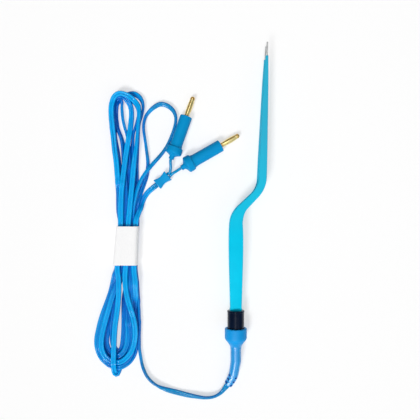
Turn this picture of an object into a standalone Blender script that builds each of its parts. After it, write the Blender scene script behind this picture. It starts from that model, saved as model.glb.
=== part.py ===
"""Bayonet bipolar forceps with its two-pin connector, hanked flat cord and two 4 mm plugs.

The forceps lies on its side: its two tines are stacked in height, so that the bayonet shape
lies flat. Everything is placed from the mouth of the black ferrule: +Y runs from the mouth
towards the tips, +X is the side that the bayonet steps to, and z = 0 is the table.
"""

import math

import bmesh
import bpy
import numpy as np
from mathutils import Vector

MM = 0.001

# Gaps between neighbours
SEAT_GAP = 0.3 * MM
COAT_GAP = 0.08 * MM
RUNNING_GAP = 0.15 * MM

# Tine in plan: handle, slanted neck and shaft, joined by two bends
HANDLE_LENGTH = 73.1 * MM
BAYONET_STEP = 19.4 * MM
BAYONET_ANGLE = math.radians(45.0)
BEND_RADIUS = 20.0 * MM
SHAFT_LENGTH = 109.2 * MM
SHAFT_LEAN = math.radians(2.1)
BARE_TIP_LENGTH = 10.1 * MM
ROOT_DEPTH = 10.0 * MM
COAT_SEAT_DEPTH = 4.0 * MM

# Tine widths over the coat, seen from above
ROOT_WIDTH = 8.6 * MM
GRIP_WIDTH = 10.4 * MM
GRIP_SETBACK = 19.0 * MM
SHOULDER_WIDTH = 9.2 * MM
SHOULDER_SETBACK = 4.0 * MM
NECK_WIDTH = 5.6 * MM
NECK_SETBACK = 9.0 * MM
SHAFT_WIDTH = 6.0 * MM
SHAFT_WIDTH_AT = 7.0 * MM
MID_SHAFT_WIDTH = 4.6 * MM
MID_SHAFT_AT = 51.0 * MM
FORE_SHAFT_WIDTH = 3.4 * MM
FORE_SHAFT_AT = 81.0 * MM
COAT_END_WIDTH = 2.2 * MM
TIP_WIDTH = 1.15 * MM

# Steel thickness and the coat on it
COAT_WALL = 0.35 * MM
ROOT_THICKNESS = 1.4 * MM
GRIP_THICKNESS = 1.8 * MM
NECK_THICKNESS = 2.2 * MM
COAT_END_THICKNESS = 1.0 * MM
TIP_THICKNESS = 0.9 * MM
TIP_NOSE = 0.27 * MM
STEEL_EDGE_ROUND = 0.35 * MM

# Bow of the tines: height of the coat's outer face above the forceps' axis
MOUTH_STAND = 3.0 * MM
RISING_STAND = 5.7 * MM
RISING_AT = 21.0 * MM
GRIP_STAND = 8.35 * MM
GRIP_STAND_AT = 46.0 * MM
NECK_STAND_AT = 14.0 * MM
TIP_STAND = 6.5 * MM

# The steel tips stop this far from each other when the tines are squeezed together
TIP_LEAVE = 0.1 * MM

# Black ferrule that holds both tine roots
FERRULE_RADIUS = 6.3 * MM
FERRULE_LIP_RADIUS = 6.55 * MM
FERRULE_LIP_LENGTH = 1.3 * MM
FERRULE_SPIGOT_RADIUS = 6.05 * MM
FERRULE_VISIBLE_LENGTH = 13.0 * MM
FERRULE_LENGTH = 16.5 * MM
FERRULE_EDGE = 0.45 * MM

# Two contact pins at the back of the ferrule
CONTACT_PIN_RADIUS = 1.0 * MM
CONTACT_PIN_SPACING = 5.2 * MM
CONTACT_PIN_REACH = 4.8 * MM
CONTACT_PIN_NOSE = 0.6 * MM
CONTACT_PIN_NOSE_STEP = 0.21 * MM
CONTACT_PIN_NOSE_MID_DROP = 0.2 * MM
CONTACT_PIN_NOSE_END_DROP = 0.6 * MM
CONTACT_BORE_GAP = 0.2 * MM

# Blue connector: cup, cone, stem and a slotted strain relief that bends to the side and droops
CUP_RADIUS = 8.35 * MM
CUP_BORE_RADIUS = 6.6 * MM
CUP_OVERLAP = 3.0 * MM
CUP_LENGTH = 8.0 * MM
CUP_EDGE = 0.7 * MM
CUP_FRONT_ROUND = 0.21 * MM
CONE_EDGE_DROP = 0.28 * MM
CONE_LENGTH = 4.6 * MM
CONE_MID_AT = 2.07 * MM
CONE_FOOT_AT = 0.69 * MM
CONE_FOOT_RISE = 0.42 * MM
STEM_RADIUS = 4.05 * MM
STEM_LENGTH = 12.4 * MM
RELIEF_BEND_RADIUS = 30.0 * MM
RELIEF_TURN = math.radians(38.0)
RELIEF_DROOP = math.radians(25.0)
RELIEF_MID_RADIUS = 3.75 * MM
RELIEF_END_RADIUS = 3.25 * MM
NOTCH_PAIRS = 3
NOTCH_PITCH = 3.35 * MM
NOTCH_FROM_END = 1.8 * MM
NOTCH_WIDTH = 1.6 * MM
NOTCH_WEB = 1.7 * MM
NOTCH_HALF_HEIGHT = 2.7 * MM

# Socket block inside the cup
CORE_LENGTH = 5.2 * MM
SOCKET_BORE_GAP = 0.15 * MM
SOCKET_WALL = 0.45 * MM
SOCKET_FLOOR = 0.4 * MM

# Flat twin cord
CORD_WIDTH = 4.2 * MM
CORD_THICKNESS = 2.1 * MM
CORD_POINT_SPACING = 5.6 * MM
CORD_OFF_TABLE = 0.05 * MM

# Hank and its paper band
BAND_LENGTH = 29.5 * MM
BAND_STRAIGHT_BELOW = 2.95 * MM
BAND_TOP = 63.6 * MM
BAND_TOP_WIDTH = 16.6 * MM
BAND_BOTTOM_WIDTH = 18.4 * MM
BAND_TOP_CENTRE = -82.5 * MM
BAND_BOTTOM_CENTRE = -84.3 * MM
BAND_HEIGHT = 10.2 * MM
BAND_WALL = 0.25 * MM
BAND_CORNER = 2.6 * MM
HANK_UPPER_HEIGHT = 153.0 * MM
HANK_UPPER_WIDTH = 27.4 * MM
HANK_UPPER_CENTRE = -83.9 * MM
HANK_UPPER_CAP = 14.5 * MM
HANK_SHOULDER_DROP = 13.0 * MM
HANK_SHOULDER_WIDTH = 23.6 * MM
HANK_SHOULDER_CENTRE = -84.9 * MM
HANK_NECK_RISE = 27.0 * MM
HANK_NECK_SPREAD = 0.5 * MM
HANK_NECK_CENTRE = -83.5 * MM
HANK_LOWER_HEIGHT = -27.0 * MM
HANK_LOWER_WIDTH = 35.6 * MM
HANK_LOWER_CENTRE = -90.7 * MM
HANK_LOWER_CAP = 25.0 * MM

# Splitter where the twin cord becomes two leads
SPLITTER_PLACE = Vector((-56.1 * MM, 99.1 * MM, 0.0))
SPLITTER_HEADING = math.radians(40.0)
SPLITTER_LENGTH = 10.9 * MM
SPLITTER_END_WIDTH = 8.5 * MM
SPLITTER_WAIST_WIDTH = 6.2 * MM
SPLITTER_END_HEIGHT = 5.6 * MM
SPLITTER_WAIST_HEIGHT = 4.6 * MM
SPLITTER_CORNER = 0.8 * MM
SPLITTER_WAIST_POWER = 1.3

# Single leads and the two plugs
LEAD_RADIUS = 1.1 * MM
LEAD_HALF_GAP = 0.33 * MM
LEAD_POINT_SPACING = 2.64 * MM
PLUG_FRONT_RADIUS = 4.45 * MM
PLUG_REAR_RADIUS = 4.7 * MM
PLUG_BODY_LENGTH = 28.2 * MM
PLUG_EDGE = 0.5 * MM
COLLAR_RADIUS = 6.4 * MM
COLLAR_RIM_LENGTH = 1.4 * MM
COLLAR_FLARE_LENGTH = 4.4 * MM
COLLAR_REAR_LENGTH = 3.4 * MM
COLLAR_REAR_MID_AT = 1.7 * MM
COLLAR_REAR_MID_DROP = 1.78 * MM
COLLAR_FLARE_MID_AT = 1.98 * MM
COLLAR_FLARE_MID_RISE = 0.595 * MM
TAIL_RADIUS = 2.0 * MM
TAIL_LENGTH = 2.6 * MM
TAIL_END_DROP = 0.3 * MM
TAIL_END_ROUND = 0.52 * MM
PLUG_PIN_EXPOSED = 16.2 * MM
PLUG_PIN_SEAT_DEPTH = 9.0 * MM
PLUG_PIN_CORE_RADIUS = 1.25 * MM
PLUG_PIN_COLLAR_RADIUS = 1.9 * MM
PLUG_PIN_COLLAR_LENGTH = 1.4 * MM
PLUG_COUNTERBORE_DEPTH = 0.8 * MM
PLUG_PIN_NOSE_RADIUS = 1.8 * MM
PLUG_PIN_NOSE_LENGTH = 2.2 * MM
PLUG_PIN_NOSE_ROUND = 0.99 * MM
PLUG_PIN_NOSE_STEP = 0.396 * MM
PLUG_PIN_NOSE_SHOULDER_DROP = 0.09 * MM
PLUG_PIN_NOSE_MID_DROP = 0.504 * MM
PLUG_PIN_NOSE_END_DROP = 1.17 * MM
SPRING_WALL = 0.3 * MM
SPRING_END_RADIUS = 1.85 * MM
SPRING_BULGE_RADIUS = 2.1 * MM
SPRING_SLOT_WIDTH = 0.45 * MM
SPRING_SLOT_OVERCUT = 1.05 * MM
SPRING_END_RING = 1.1 * MM
SPRING_SLOT_PAIRS = 2

# Each plug: place of its collar's rim on the table, and its heading
PLUGS = {
    "a": (Vector((-47.1 * MM, 121.1 * MM, 0.0)), math.radians(70.7)),
    "b": (Vector((-35.7 * MM, 111.4 * MM, 0.0)), math.radians(30.1)),
}

# Cord routes: hand-chosen points, in millimetres
RUN_ROUTE = (
    (-8.8, -62.0, 3.9),
    (-12.4, -65.9, 2.3),
    (-17.4, -68.2, 1.3),
    (-23.5, -68.8, 1.1),
    (-30.5, -67.9, 1.1),
    (-37.4, -66.7, 1.1),
    (-44.4, -65.0, 1.1),
    (-50.6, -63.4, 1.1),
    (-56.0, -61.5, 1.1),
    (-60.6, -59.3, 1.1),
    (-64.9, -56.1, 1.1),
    (-68.2, -52.2, 1.1),
    (-70.1, -48.0, 1.1),
    (-71.4, -43.3, 1.1),
    (-73.05, -37.7, 1.1),
)
LOOP_ROUTE = (
    (-72.8, 88.0, 6.7),
    (-71.9, 94.5, 6.1),
    (-70.5, 100.5, 5.5),
    (-68.8, 106.4, 4.9),
    (-66.8, 111.9, 4.5),
    (-64.2, 115.3, 4.3),
    (-61.1, 118.0, 3.3),
    (-58.2, 120.3, 2.2),
    (-53.6, 125.5, 1.2),
    (-49.7, 132.4, 1.1),
    (-47.4, 140.1, 1.1),
    (-46.6, 147.8, 1.1),
    (-48.9, 153.2, 1.1),
    (-52.8, 156.7, 1.1),
    (-57.4, 158.2, 1.1),
    (-62.0, 157.8, 1.5),
    (-66.3, 155.4, 2.0),
    (-69.0, 150.3, 2.15),
    (-70.9, 141.6, 2.15),
    (-70.5, 130.1, 2.15),
    (-69.4, 122.4, 2.0),
    (-68.0, 117.0, 1.55),
    (-67.5, 111.4, 1.15),
    (-68.6, 106.0, 1.6),
    (-70.1, 100.4, 2.5),
    (-71.7, 94.4, 3.3),
    (-72.7, 88.0, 4.0),
)

# Roll of the flat cord along the side loop: shares of its length, and degrees from lying flat
LOOP_ROLL = ((0.0, 0.0), (0.46, 0.0), (0.57, 90.0), (0.79, 90.0), (0.87, 0.0), (1.0, 0.0))

TAIL_ROUTE = (
    (-73.05, 72.5, 1.1),
    (-72.6, 77.0, 1.1),
    (-71.2, 81.5, 1.1),
    (-69.6, 85.8, 1.1),
    (-67.0, 89.6, 1.4),
    (-63.9, 92.7, 2.1),
)
LEAD_ROUTES = {
    "a": ((-50.6, 106.2, 3.7), (-49.4, 109.3, 5.2)),
    "b": ((-48.6, 104.2, 3.9), (-45.6, 106.2, 5.3)),
}

# Facets
ROUND_STEPS = 32
SMALL_ROUND_STEPS = 20
TIP_END_SCALE = 0.55


def clear_scene():
    """Removes every object, so that the model starts from nothing."""
    for item in list(bpy.data.objects):
        bpy.data.objects.remove(item)


def make_material(name, colour, roughness, metallic=0.0):
    """A Principled material of one colour."""
    material = bpy.data.materials.new(name)
    material.use_nodes = True
    shader = material.node_tree.nodes["Principled BSDF"]
    shader.inputs["Base Color"].default_value = (*colour, 1.0)
    shader.inputs["Roughness"].default_value = roughness
    shader.inputs["Metallic"].default_value = metallic
    return material


def make_empty(name, parent=None, location=(0.0, 0.0, 0.0)):
    """An empty that carries other objects."""
    carrier = bpy.data.objects.new(name, None)
    carrier.empty_display_size = 5.0 * MM
    bpy.context.scene.collection.objects.link(carrier)
    carrier.parent = parent
    carrier.location = location
    return carrier


def add_mesh(name, bm, parent, material, smooth_degrees=35.0):
    """Turns a bmesh into a named object under its parent, shaded smooth on its round faces."""
    bmesh.ops.recalc_face_normals(bm, faces=bm.faces)
    mesh = bpy.data.meshes.new(name)
    bm.to_mesh(mesh)
    bm.free()
    mesh.shade_smooth()
    mesh.set_sharp_from_angle(angle=math.radians(smooth_degrees))
    if material is not None:
        mesh.materials.append(material)
    body = bpy.data.objects.new(name, mesh)
    bpy.context.scene.collection.objects.link(body)
    body.parent = parent
    return body


def skin_rings(rings, joined_ends=False, bm=None):
    """Joins rings of equal point counts into one closed skin.

    The two end rings are capped, or joined to each other for a piece with a hole through it.
    """
    bm = bm or bmesh.new()
    loops = [[bm.verts.new(point) for point in ring] for ring in rings]
    pairs = list(zip(loops, loops[1:]))
    if joined_ends:
        pairs.append((loops[-1], loops[0]))
    for first, second in pairs:
        count = len(first)
        for k in range(count):
            after = (k + 1) % count
            bm.faces.new((first[k], first[after], second[after], second[k]))
    if not joined_ends:
        bm.faces.new(loops[0])
        bm.faces.new(reversed(loops[-1]))
    return bm


def round_rings(profile, steps=ROUND_STEPS):
    """Rings about the Y axis from (place along Y, radius) pairs, each with a point straight below."""
    angles = 2.0 * math.pi * np.arange(steps) / steps
    return [
        [(radius * math.cos(a), along, radius * math.sin(a)) for a in angles]
        for along, radius in profile
    ]


def raised(rings, side):
    """Rings moved up or down to one of the two contacts."""
    lift = Vector((0.0, 0.0, side * CONTACT_PIN_SPACING / 2.0))
    return [[Vector(point) + lift for point in ring] for ring in rings]


def box_into(bm, low, high):
    """Adds a box between two corners to a bmesh."""
    low = Vector(low)
    high = Vector(high)
    for corner in bmesh.ops.create_cube(bm, size=1.0)["verts"]:
        share = corner.co + Vector((0.5, 0.5, 0.5))
        corner.co = Vector([low[k] + share[k] * (high[k] - low[k]) for k in range(3)])


def cut_away(body, bm, parent, label="cutter"):
    """Takes the closed shapes of a bmesh out of a body, with a hidden helper object."""
    helper = add_mesh(body.name + "_" + label, bm, parent, None)
    helper.hide_render = True
    helper.display_type = "WIRE"
    modifier = body.modifiers.new("Cut", "BOOLEAN")
    modifier.operation = "DIFFERENCE"
    modifier.solver = "EXACT"
    modifier.object = helper


def smooth_through(knots, values, at):
    """Smooth curve through the knots that never overshoots them (monotone cubic)."""
    knots = np.asarray(knots, dtype=float)
    values = np.asarray(values, dtype=float)
    at = np.asarray(at, dtype=float)
    spans = np.diff(knots)
    slopes = np.diff(values) / spans
    same_way = slopes[1:] * slopes[:-1] > 0.0
    total = np.where(same_way, slopes[1:] + slopes[:-1], 1.0)
    inner = np.where(same_way, 2.0 * slopes[1:] * slopes[:-1] / total, 0.0)
    tangents = np.concatenate(([slopes[0]], inner, [slopes[-1]]))
    k = np.clip(np.searchsorted(knots, at, side="right") - 1, 0, len(spans) - 1)
    t = np.clip((at - knots[k]) / spans[k], 0.0, 1.0)
    rise = spans[k] * (tangents[k] * (t**3 - 2.0 * t**2 + t) + tangents[k + 1] * (t**3 - t**2))
    ease = 3.0 * t**2 - 2.0 * t**3
    return values[k] * (1.0 - ease) + values[k + 1] * ease + rise


# Places along the forceps, from the ferrule's mouth
NECK_CORNER = HANDLE_LENGTH + BAYONET_STEP / math.tan(BAYONET_ANGLE)
TIP_AT = NECK_CORNER + SHAFT_LENGTH
COAT_END_AT = TIP_AT - BARE_TIP_LENGTH
AXIS_HEIGHT = max(CUP_RADIUS, GRIP_STAND)


def coated_width(along):
    """Width of the coated tine, seen from above."""
    rows = (
        (0.0, ROOT_WIDTH),
        (HANDLE_LENGTH - GRIP_SETBACK, GRIP_WIDTH),
        (HANDLE_LENGTH - SHOULDER_SETBACK, SHOULDER_WIDTH),
        (NECK_CORNER - NECK_SETBACK, NECK_WIDTH),
        (NECK_CORNER + SHAFT_WIDTH_AT, SHAFT_WIDTH),
        (NECK_CORNER + MID_SHAFT_AT, MID_SHAFT_WIDTH),
        (NECK_CORNER + FORE_SHAFT_AT, FORE_SHAFT_WIDTH),
        (COAT_END_AT, COAT_END_WIDTH),
        (TIP_AT, TIP_WIDTH + 2.0 * (COAT_WALL + COAT_GAP)),
    )
    return smooth_through(*zip(*rows), along)


def steel_thickness(along):
    """Thickness of the steel strip."""
    rows = (
        (0.0, ROOT_THICKNESS),
        (HANDLE_LENGTH - GRIP_SETBACK, GRIP_THICKNESS),
        (NECK_CORNER, NECK_THICKNESS),
        (COAT_END_AT, COAT_END_THICKNESS),
        (TIP_AT, TIP_THICKNESS),
    )
    return smooth_through(*zip(*rows), along)


def outer_stand(along):
    """Height of the coat's outer face above the forceps' axis."""
    rows = (
        (0.0, MOUTH_STAND),
        (RISING_AT, RISING_STAND),
        (GRIP_STAND_AT, GRIP_STAND),
        (NECK_CORNER + NECK_STAND_AT, GRIP_STAND),
        (TIP_AT, TIP_STAND),
    )
    return smooth_through(*zip(*rows), along)


def steel_stand(along):
    """Height of the steel's middle above the forceps' axis."""
    return outer_stand(along) - COAT_WALL - COAT_GAP - steel_thickness(along) / 2.0


def tine_stations():
    """Points of the tine's centreline in plan: rows of x, y and heading from +Y towards +X."""
    rows = [(0.0, y, 0.0) for y in (-ROOT_DEPTH, -COAT_SEAT_DEPTH)]
    bend = BEND_RADIUS * math.tan(BAYONET_ANGLE / 2.0)
    rows += [(0.0, y, 0.0) for y in np.linspace(0.0, HANDLE_LENGTH - bend, 11)]
    for a in np.linspace(0.0, BAYONET_ANGLE, 6)[1:]:
        x = BEND_RADIUS * (1.0 - math.cos(a))
        y = HANDLE_LENGTH - bend + BEND_RADIUS * math.sin(a)
        rows.append((x, y, a))
    turn = BAYONET_ANGLE - SHAFT_LEAN
    back = BEND_RADIUS * math.tan(turn / 2.0)
    start_x = BAYONET_STEP - back * math.sin(BAYONET_ANGLE)
    start_y = NECK_CORNER - back * math.cos(BAYONET_ANGLE)
    for a in np.linspace(BAYONET_ANGLE, SHAFT_LEAN, 6):
        x = start_x + BEND_RADIUS * (math.cos(a) - math.cos(BAYONET_ANGLE))
        y = start_y + BEND_RADIUS * (math.sin(BAYONET_ANGLE) - math.sin(a))
        rows.append((x, y, a))
    shaft_x, shaft_y, _ = rows[-1]
    reach = list(np.linspace(shaft_y, COAT_END_AT, 9)[1:])
    reach += list(np.linspace(COAT_END_AT, TIP_AT, 3)[1:])
    rows += [(shaft_x + (y - shaft_y) * math.tan(SHAFT_LEAN), y, SHAFT_LEAN) for y in reach]
    return np.array(rows)


def strip_ring(centre, heading, width, thickness, corner):
    """Cross-section of a flat strip with rounded edges, square to its heading."""
    half_width = width / 2.0 - corner
    half_height = thickness / 2.0 - corner
    side = Vector((math.cos(heading), -math.sin(heading), 0.0))
    ring = []
    for quarter, (right, up) in enumerate(((1, 1), (-1, 1), (-1, -1), (1, -1))):
        for step in range(3):
            a = math.pi / 2.0 * (quarter + step / 2.0)
            across = right * half_width + corner * math.cos(a)
            height = up * half_height + corner * math.sin(a)
            ring.append(Vector(centre) + side * across + Vector((0.0, 0.0, height)))
    return ring


def tine_rings(stations, grow, corner, pivot_height):
    """Rings of a tine or of its coat, measured from the tine's hinge at the ferrule's mouth.

    grow is what the outline stands proud of the steel on each side.
    """
    rings = []
    for x, y, heading in stations:
        width = coated_width(y) - 2.0 * (COAT_WALL + COAT_GAP - grow)
        thickness = steel_thickness(y) + 2.0 * grow
        centre = (x, y, steel_stand(y) - pivot_height)
        rings.append(strip_ring(centre, heading, width, thickness, corner))
    return rings


def closing_angle():
    """Turn of each tine, from rest until the tips nearly meet."""
    inner_face = steel_stand(TIP_AT) - TIP_THICKNESS / 2.0 - TIP_LEAVE / 2.0
    return math.atan2(inner_face, TIP_AT)


def mirrored(rings):
    """Rings turned over in height, for the lower of two tines."""
    return [[Vector((p[0], p[1], -p[2])) for p in ring] for ring in rings]


def make_tine(name, side, carrier, steel, insulation):
    """One steel tine with its coat; side is 1 for the upper tine and -1 for the lower."""
    stations = tine_stations()
    pivot_height = steel_stand(0.0)
    strip = tine_rings(stations, 0.0, STEEL_EDGE_ROUND, pivot_height)
    x, y, heading = stations[-1]
    middle = Vector((x, y, steel_stand(TIP_AT) - pivot_height))
    nose = Vector((math.sin(heading), math.cos(heading), 0.0)) * TIP_NOSE
    strip.append([middle + nose + (point - middle) * TIP_END_SCALE for point in strip[-1]])

    covered = stations[1:-2]
    outer_corner = STEEL_EDGE_ROUND + COAT_GAP + COAT_WALL
    outer = tine_rings(covered, COAT_GAP + COAT_WALL, outer_corner, pivot_height)
    inner = tine_rings(covered, COAT_GAP, STEEL_EDGE_ROUND + COAT_GAP, pivot_height)
    sleeve = outer + inner[::-1]
    if side < 0:
        strip = mirrored(strip)
        sleeve = mirrored(sleeve)
    add_mesh("tine_" + name, skin_rings(strip), carrier, steel)
    add_mesh("coat_" + name, skin_rings(sleeve, joined_ends=True), carrier, insulation)


def make_ferrule(carrier, black):
    """Black ferrule: a lipped barrel with a slot for each tine root and a bore for each contact pin."""
    lip_end = -FERRULE_LIP_LENGTH
    spigot_start = -FERRULE_VISIBLE_LENGTH
    profile = (
        (0.0, FERRULE_LIP_RADIUS - FERRULE_EDGE),
        (-FERRULE_EDGE / 2.0, FERRULE_LIP_RADIUS - FERRULE_EDGE / 4.0),
        (-FERRULE_EDGE, FERRULE_LIP_RADIUS),
        (lip_end, FERRULE_LIP_RADIUS),
        (lip_end - (FERRULE_LIP_RADIUS - FERRULE_RADIUS), FERRULE_RADIUS),
        (spigot_start, FERRULE_RADIUS),
        (spigot_start - (FERRULE_RADIUS - FERRULE_SPIGOT_RADIUS), FERRULE_SPIGOT_RADIUS),
        (-FERRULE_LENGTH + FERRULE_EDGE, FERRULE_SPIGOT_RADIUS),
        (-FERRULE_LENGTH, FERRULE_SPIGOT_RADIUS - FERRULE_EDGE),
    )
    ferrule = add_mesh("ferrule", skin_rings(round_rings(profile)), carrier, black)

    slots = bmesh.new()
    swing = ROOT_DEPTH * math.sin(closing_angle()) + RUNNING_GAP
    coat_end = -COAT_SEAT_DEPTH - SEAT_GAP
    root_end = -ROOT_DEPTH - SEAT_GAP
    coat_proud = COAT_GAP + COAT_WALL
    for side in (1.0, -1.0):
        rings = []
        for along, proud in (
            (SEAT_GAP, coat_proud), (coat_end, coat_proud), (coat_end, 0.0), (root_end, 0.0),
        ):
            half_width = ROOT_WIDTH / 2.0 - coat_proud + proud + RUNNING_GAP
            half_height = ROOT_THICKNESS / 2.0 + proud
            inward = side * (steel_stand(0.0) - half_height - RUNNING_GAP)
            outward = side * (steel_stand(0.0) + half_height + swing)
            rings.append([
                (x, along, z)
                for x, z in (
                    (-half_width, inward), (half_width, inward),
                    (half_width, outward), (-half_width, outward),
                )
            ])
        skin_rings(rings, bm=slots)
    cut_away(ferrule, slots, carrier, "slot_cutter")

    bores = bmesh.new()
    bore_radius = CONTACT_PIN_RADIUS + CONTACT_BORE_GAP
    for side in (1.0, -1.0):
        span = ((-ROOT_DEPTH, bore_radius), (-FERRULE_LENGTH - SEAT_GAP, bore_radius))
        skin_rings(raised(round_rings(span, SMALL_ROUND_STEPS), side), bm=bores)
    cut_away(ferrule, bores, carrier, "bore_cutter")


def make_contact_pins(carrier, brass):
    """Round pins from behind the tine roots out through the back of the ferrule."""
    start = -ROOT_DEPTH - 2.0 * SEAT_GAP
    end = -FERRULE_LENGTH - CONTACT_PIN_REACH
    profile = (
        (start, CONTACT_PIN_RADIUS),
        (end + CONTACT_PIN_NOSE, CONTACT_PIN_RADIUS),
        (end + CONTACT_PIN_NOSE_STEP, CONTACT_PIN_RADIUS - CONTACT_PIN_NOSE_MID_DROP),
        (end, CONTACT_PIN_RADIUS - CONTACT_PIN_NOSE_END_DROP),
    )
    for name, side in (("upper", 1.0), ("lower", -1.0)):
        pin = skin_rings(round_rings(profile, SMALL_ROUND_STEPS))
        body = add_mesh("contact_pin_" + name, pin, carrier, brass)
        body.location = (0.0, 0.0, side * CONTACT_PIN_SPACING / 2.0)


# Places along the connector, behind the ferrule's mouth
CUP_FRONT = -FERRULE_LENGTH + CUP_OVERLAP
CORE_FRONT = -FERRULE_LENGTH - SEAT_GAP
CORE_BACK = CORE_FRONT - CORE_LENGTH
CUP_FLOOR = CORE_BACK - SEAT_GAP
CONE_FRONT = CUP_FRONT - CUP_LENGTH
STEM_FRONT = CONE_FRONT - CONE_LENGTH
RELIEF_FRONT = STEM_FRONT - STEM_LENGTH
RELIEF_LENGTH = RELIEF_BEND_RADIUS * RELIEF_TURN


def relief_frame(along):
    """Point, forward direction and level sideways direction at a distance along the bent relief."""
    a = along / RELIEF_BEND_RADIUS
    drift = RELIEF_BEND_RADIUS * (1.0 - math.cos(a))
    out = Vector((-math.cos(RELIEF_DROOP), 0.0, -math.sin(RELIEF_DROOP)))
    point = Vector((0.0, RELIEF_FRONT - RELIEF_BEND_RADIUS * math.sin(a), 0.0)) + out * drift
    ahead = Vector((0.0, -math.cos(a), 0.0)) + out * math.sin(a)
    sideways = ahead.cross(Vector((0.0, 0.0, 1.0))).normalized()
    return point, ahead, sideways


def relief_ring(along, radius):
    """Round section of the bent relief."""
    point, ahead, sideways = relief_frame(along)
    above = sideways.cross(ahead)
    angles = [2.0 * math.pi * k / ROUND_STEPS for k in range(ROUND_STEPS)]
    return [point - sideways * radius * math.cos(a) + above * radius * math.sin(a) for a in angles]


def make_connector(carrier, blue, core_grey, brass):
    """Moulded boot with a cup at the front, the socket block in the cup and its two sockets."""
    core_radius = CUP_BORE_RADIUS - SEAT_GAP
    profile = (
        (CUP_FLOOR, CUP_BORE_RADIUS),
        (CUP_FRONT, CUP_BORE_RADIUS),
        (CUP_FRONT, CUP_RADIUS - CUP_EDGE),
        (CUP_FRONT - CUP_FRONT_ROUND, CUP_RADIUS - CUP_FRONT_ROUND),
        (CUP_FRONT - CUP_EDGE, CUP_RADIUS),
        (CONE_FRONT + CUP_EDGE, CUP_RADIUS),
        (CONE_FRONT, CUP_RADIUS - CONE_EDGE_DROP),
        (CONE_FRONT - CONE_MID_AT, (CUP_RADIUS + STEM_RADIUS) / 2.0),
        (STEM_FRONT + CONE_FOOT_AT, STEM_RADIUS + CONE_FOOT_RISE),
        (STEM_FRONT - CUP_EDGE, STEM_RADIUS),
    )
    rings = round_rings(profile)
    bend_stations = np.linspace(0.0, RELIEF_LENGTH - CUP_EDGE / 2.0, 9)
    knots = (0.0, RELIEF_LENGTH / 2.0, RELIEF_LENGTH)
    radii = smooth_through(knots, (STEM_RADIUS, RELIEF_MID_RADIUS, RELIEF_END_RADIUS), bend_stations)
    rings += [relief_ring(along, radius) for along, radius in zip(bend_stations, radii)]
    rings.append(relief_ring(RELIEF_LENGTH, RELIEF_END_RADIUS - CUP_EDGE / 2.0))
    boot = add_mesh("connector_boot", skin_rings(rings), carrier, blue)

    notches = bmesh.new()
    for k in range(NOTCH_PAIRS):
        along = RELIEF_LENGTH - NOTCH_FROM_END - k * NOTCH_PITCH
        point, ahead, sideways = relief_frame(along)
        above = sideways.cross(ahead)
        for side in (1.0, -1.0):
            low = NOTCH_WEB
            high = STEM_RADIUS + NOTCH_WEB
            ends = []
            for reach in (low, high):
                ends.append([
                    point + sideways * side * reach + ahead * u * NOTCH_WIDTH / 2.0
                    + above * w * NOTCH_HALF_HEIGHT
                    for u, w in ((-1.0, -1.0), (1.0, -1.0), (1.0, 1.0), (-1.0, 1.0))
                ])
            skin_rings(ends, bm=notches)
    cut_away(boot, notches, carrier)

    edge = CUP_EDGE / 2.0
    core_profile = (
        (CORE_FRONT, core_radius - edge),
        (CORE_FRONT - edge, core_radius),
        (CORE_BACK, core_radius),
    )
    core = add_mesh("connector_core", skin_rings(round_rings(core_profile)), carrier, core_grey)
    socket_bore = CONTACT_PIN_RADIUS + SOCKET_BORE_GAP
    socket_radius = socket_bore + SOCKET_WALL
    holes = bmesh.new()
    for side in (1.0, -1.0):
        hole_radius = socket_radius + RUNNING_GAP
        span = ((CORE_FRONT + SEAT_GAP, hole_radius), (CORE_BACK - SEAT_GAP, hole_radius))
        skin_rings(raised(round_rings(span, SMALL_ROUND_STEPS), side), bm=holes)
    cut_away(core, holes, carrier)

    socket_profile = (
        (CORE_BACK + SOCKET_FLOOR, socket_bore),
        (CORE_FRONT, socket_bore),
        (CORE_FRONT, socket_radius),
        (CORE_BACK, socket_radius),
    )
    for name, side in (("upper", 1.0), ("lower", -1.0)):
        rings = round_rings(socket_profile, SMALL_ROUND_STEPS)
        socket = add_mesh("socket_contact_" + name, skin_rings(rings), carrier, brass)
        socket.location = (0.0, 0.0, side * CONTACT_PIN_SPACING / 2.0)


# Roll of a cord that lies flat all along
FLAT_ROLL = ((0.0, 0.0), (1.0, 0.0))


def curve_points(route, spacing):
    """Evenly spaced points on a smooth curve through a route's own points."""
    route = np.asarray(route, dtype=float)
    ends = np.vstack((2.0 * route[0] - route[1], route, 2.0 * route[-1] - route[-2]))
    dense = [route[0]]
    for k in range(len(route) - 1):
        a, b, c, d = ends[k:k + 4]
        for t in np.linspace(0.0, 1.0, 17)[1:]:
            dense.append(
                0.5 * (2.0 * b + (c - a) * t + (2.0 * a - 5.0 * b + 4.0 * c - d) * t * t
                       + (3.0 * b - a - 3.0 * c + d) * t * t * t)
            )
    dense = np.array(dense)
    walked = np.concatenate(([0.0], np.cumsum(np.linalg.norm(np.diff(dense, axis=0), axis=1))))
    count = max(4, round(walked[-1] / spacing))
    marks = np.linspace(0.0, walked[-1], count + 1)
    return np.column_stack([np.interp(marks, walked, dense[:, axis]) for axis in range(3)])


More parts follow.
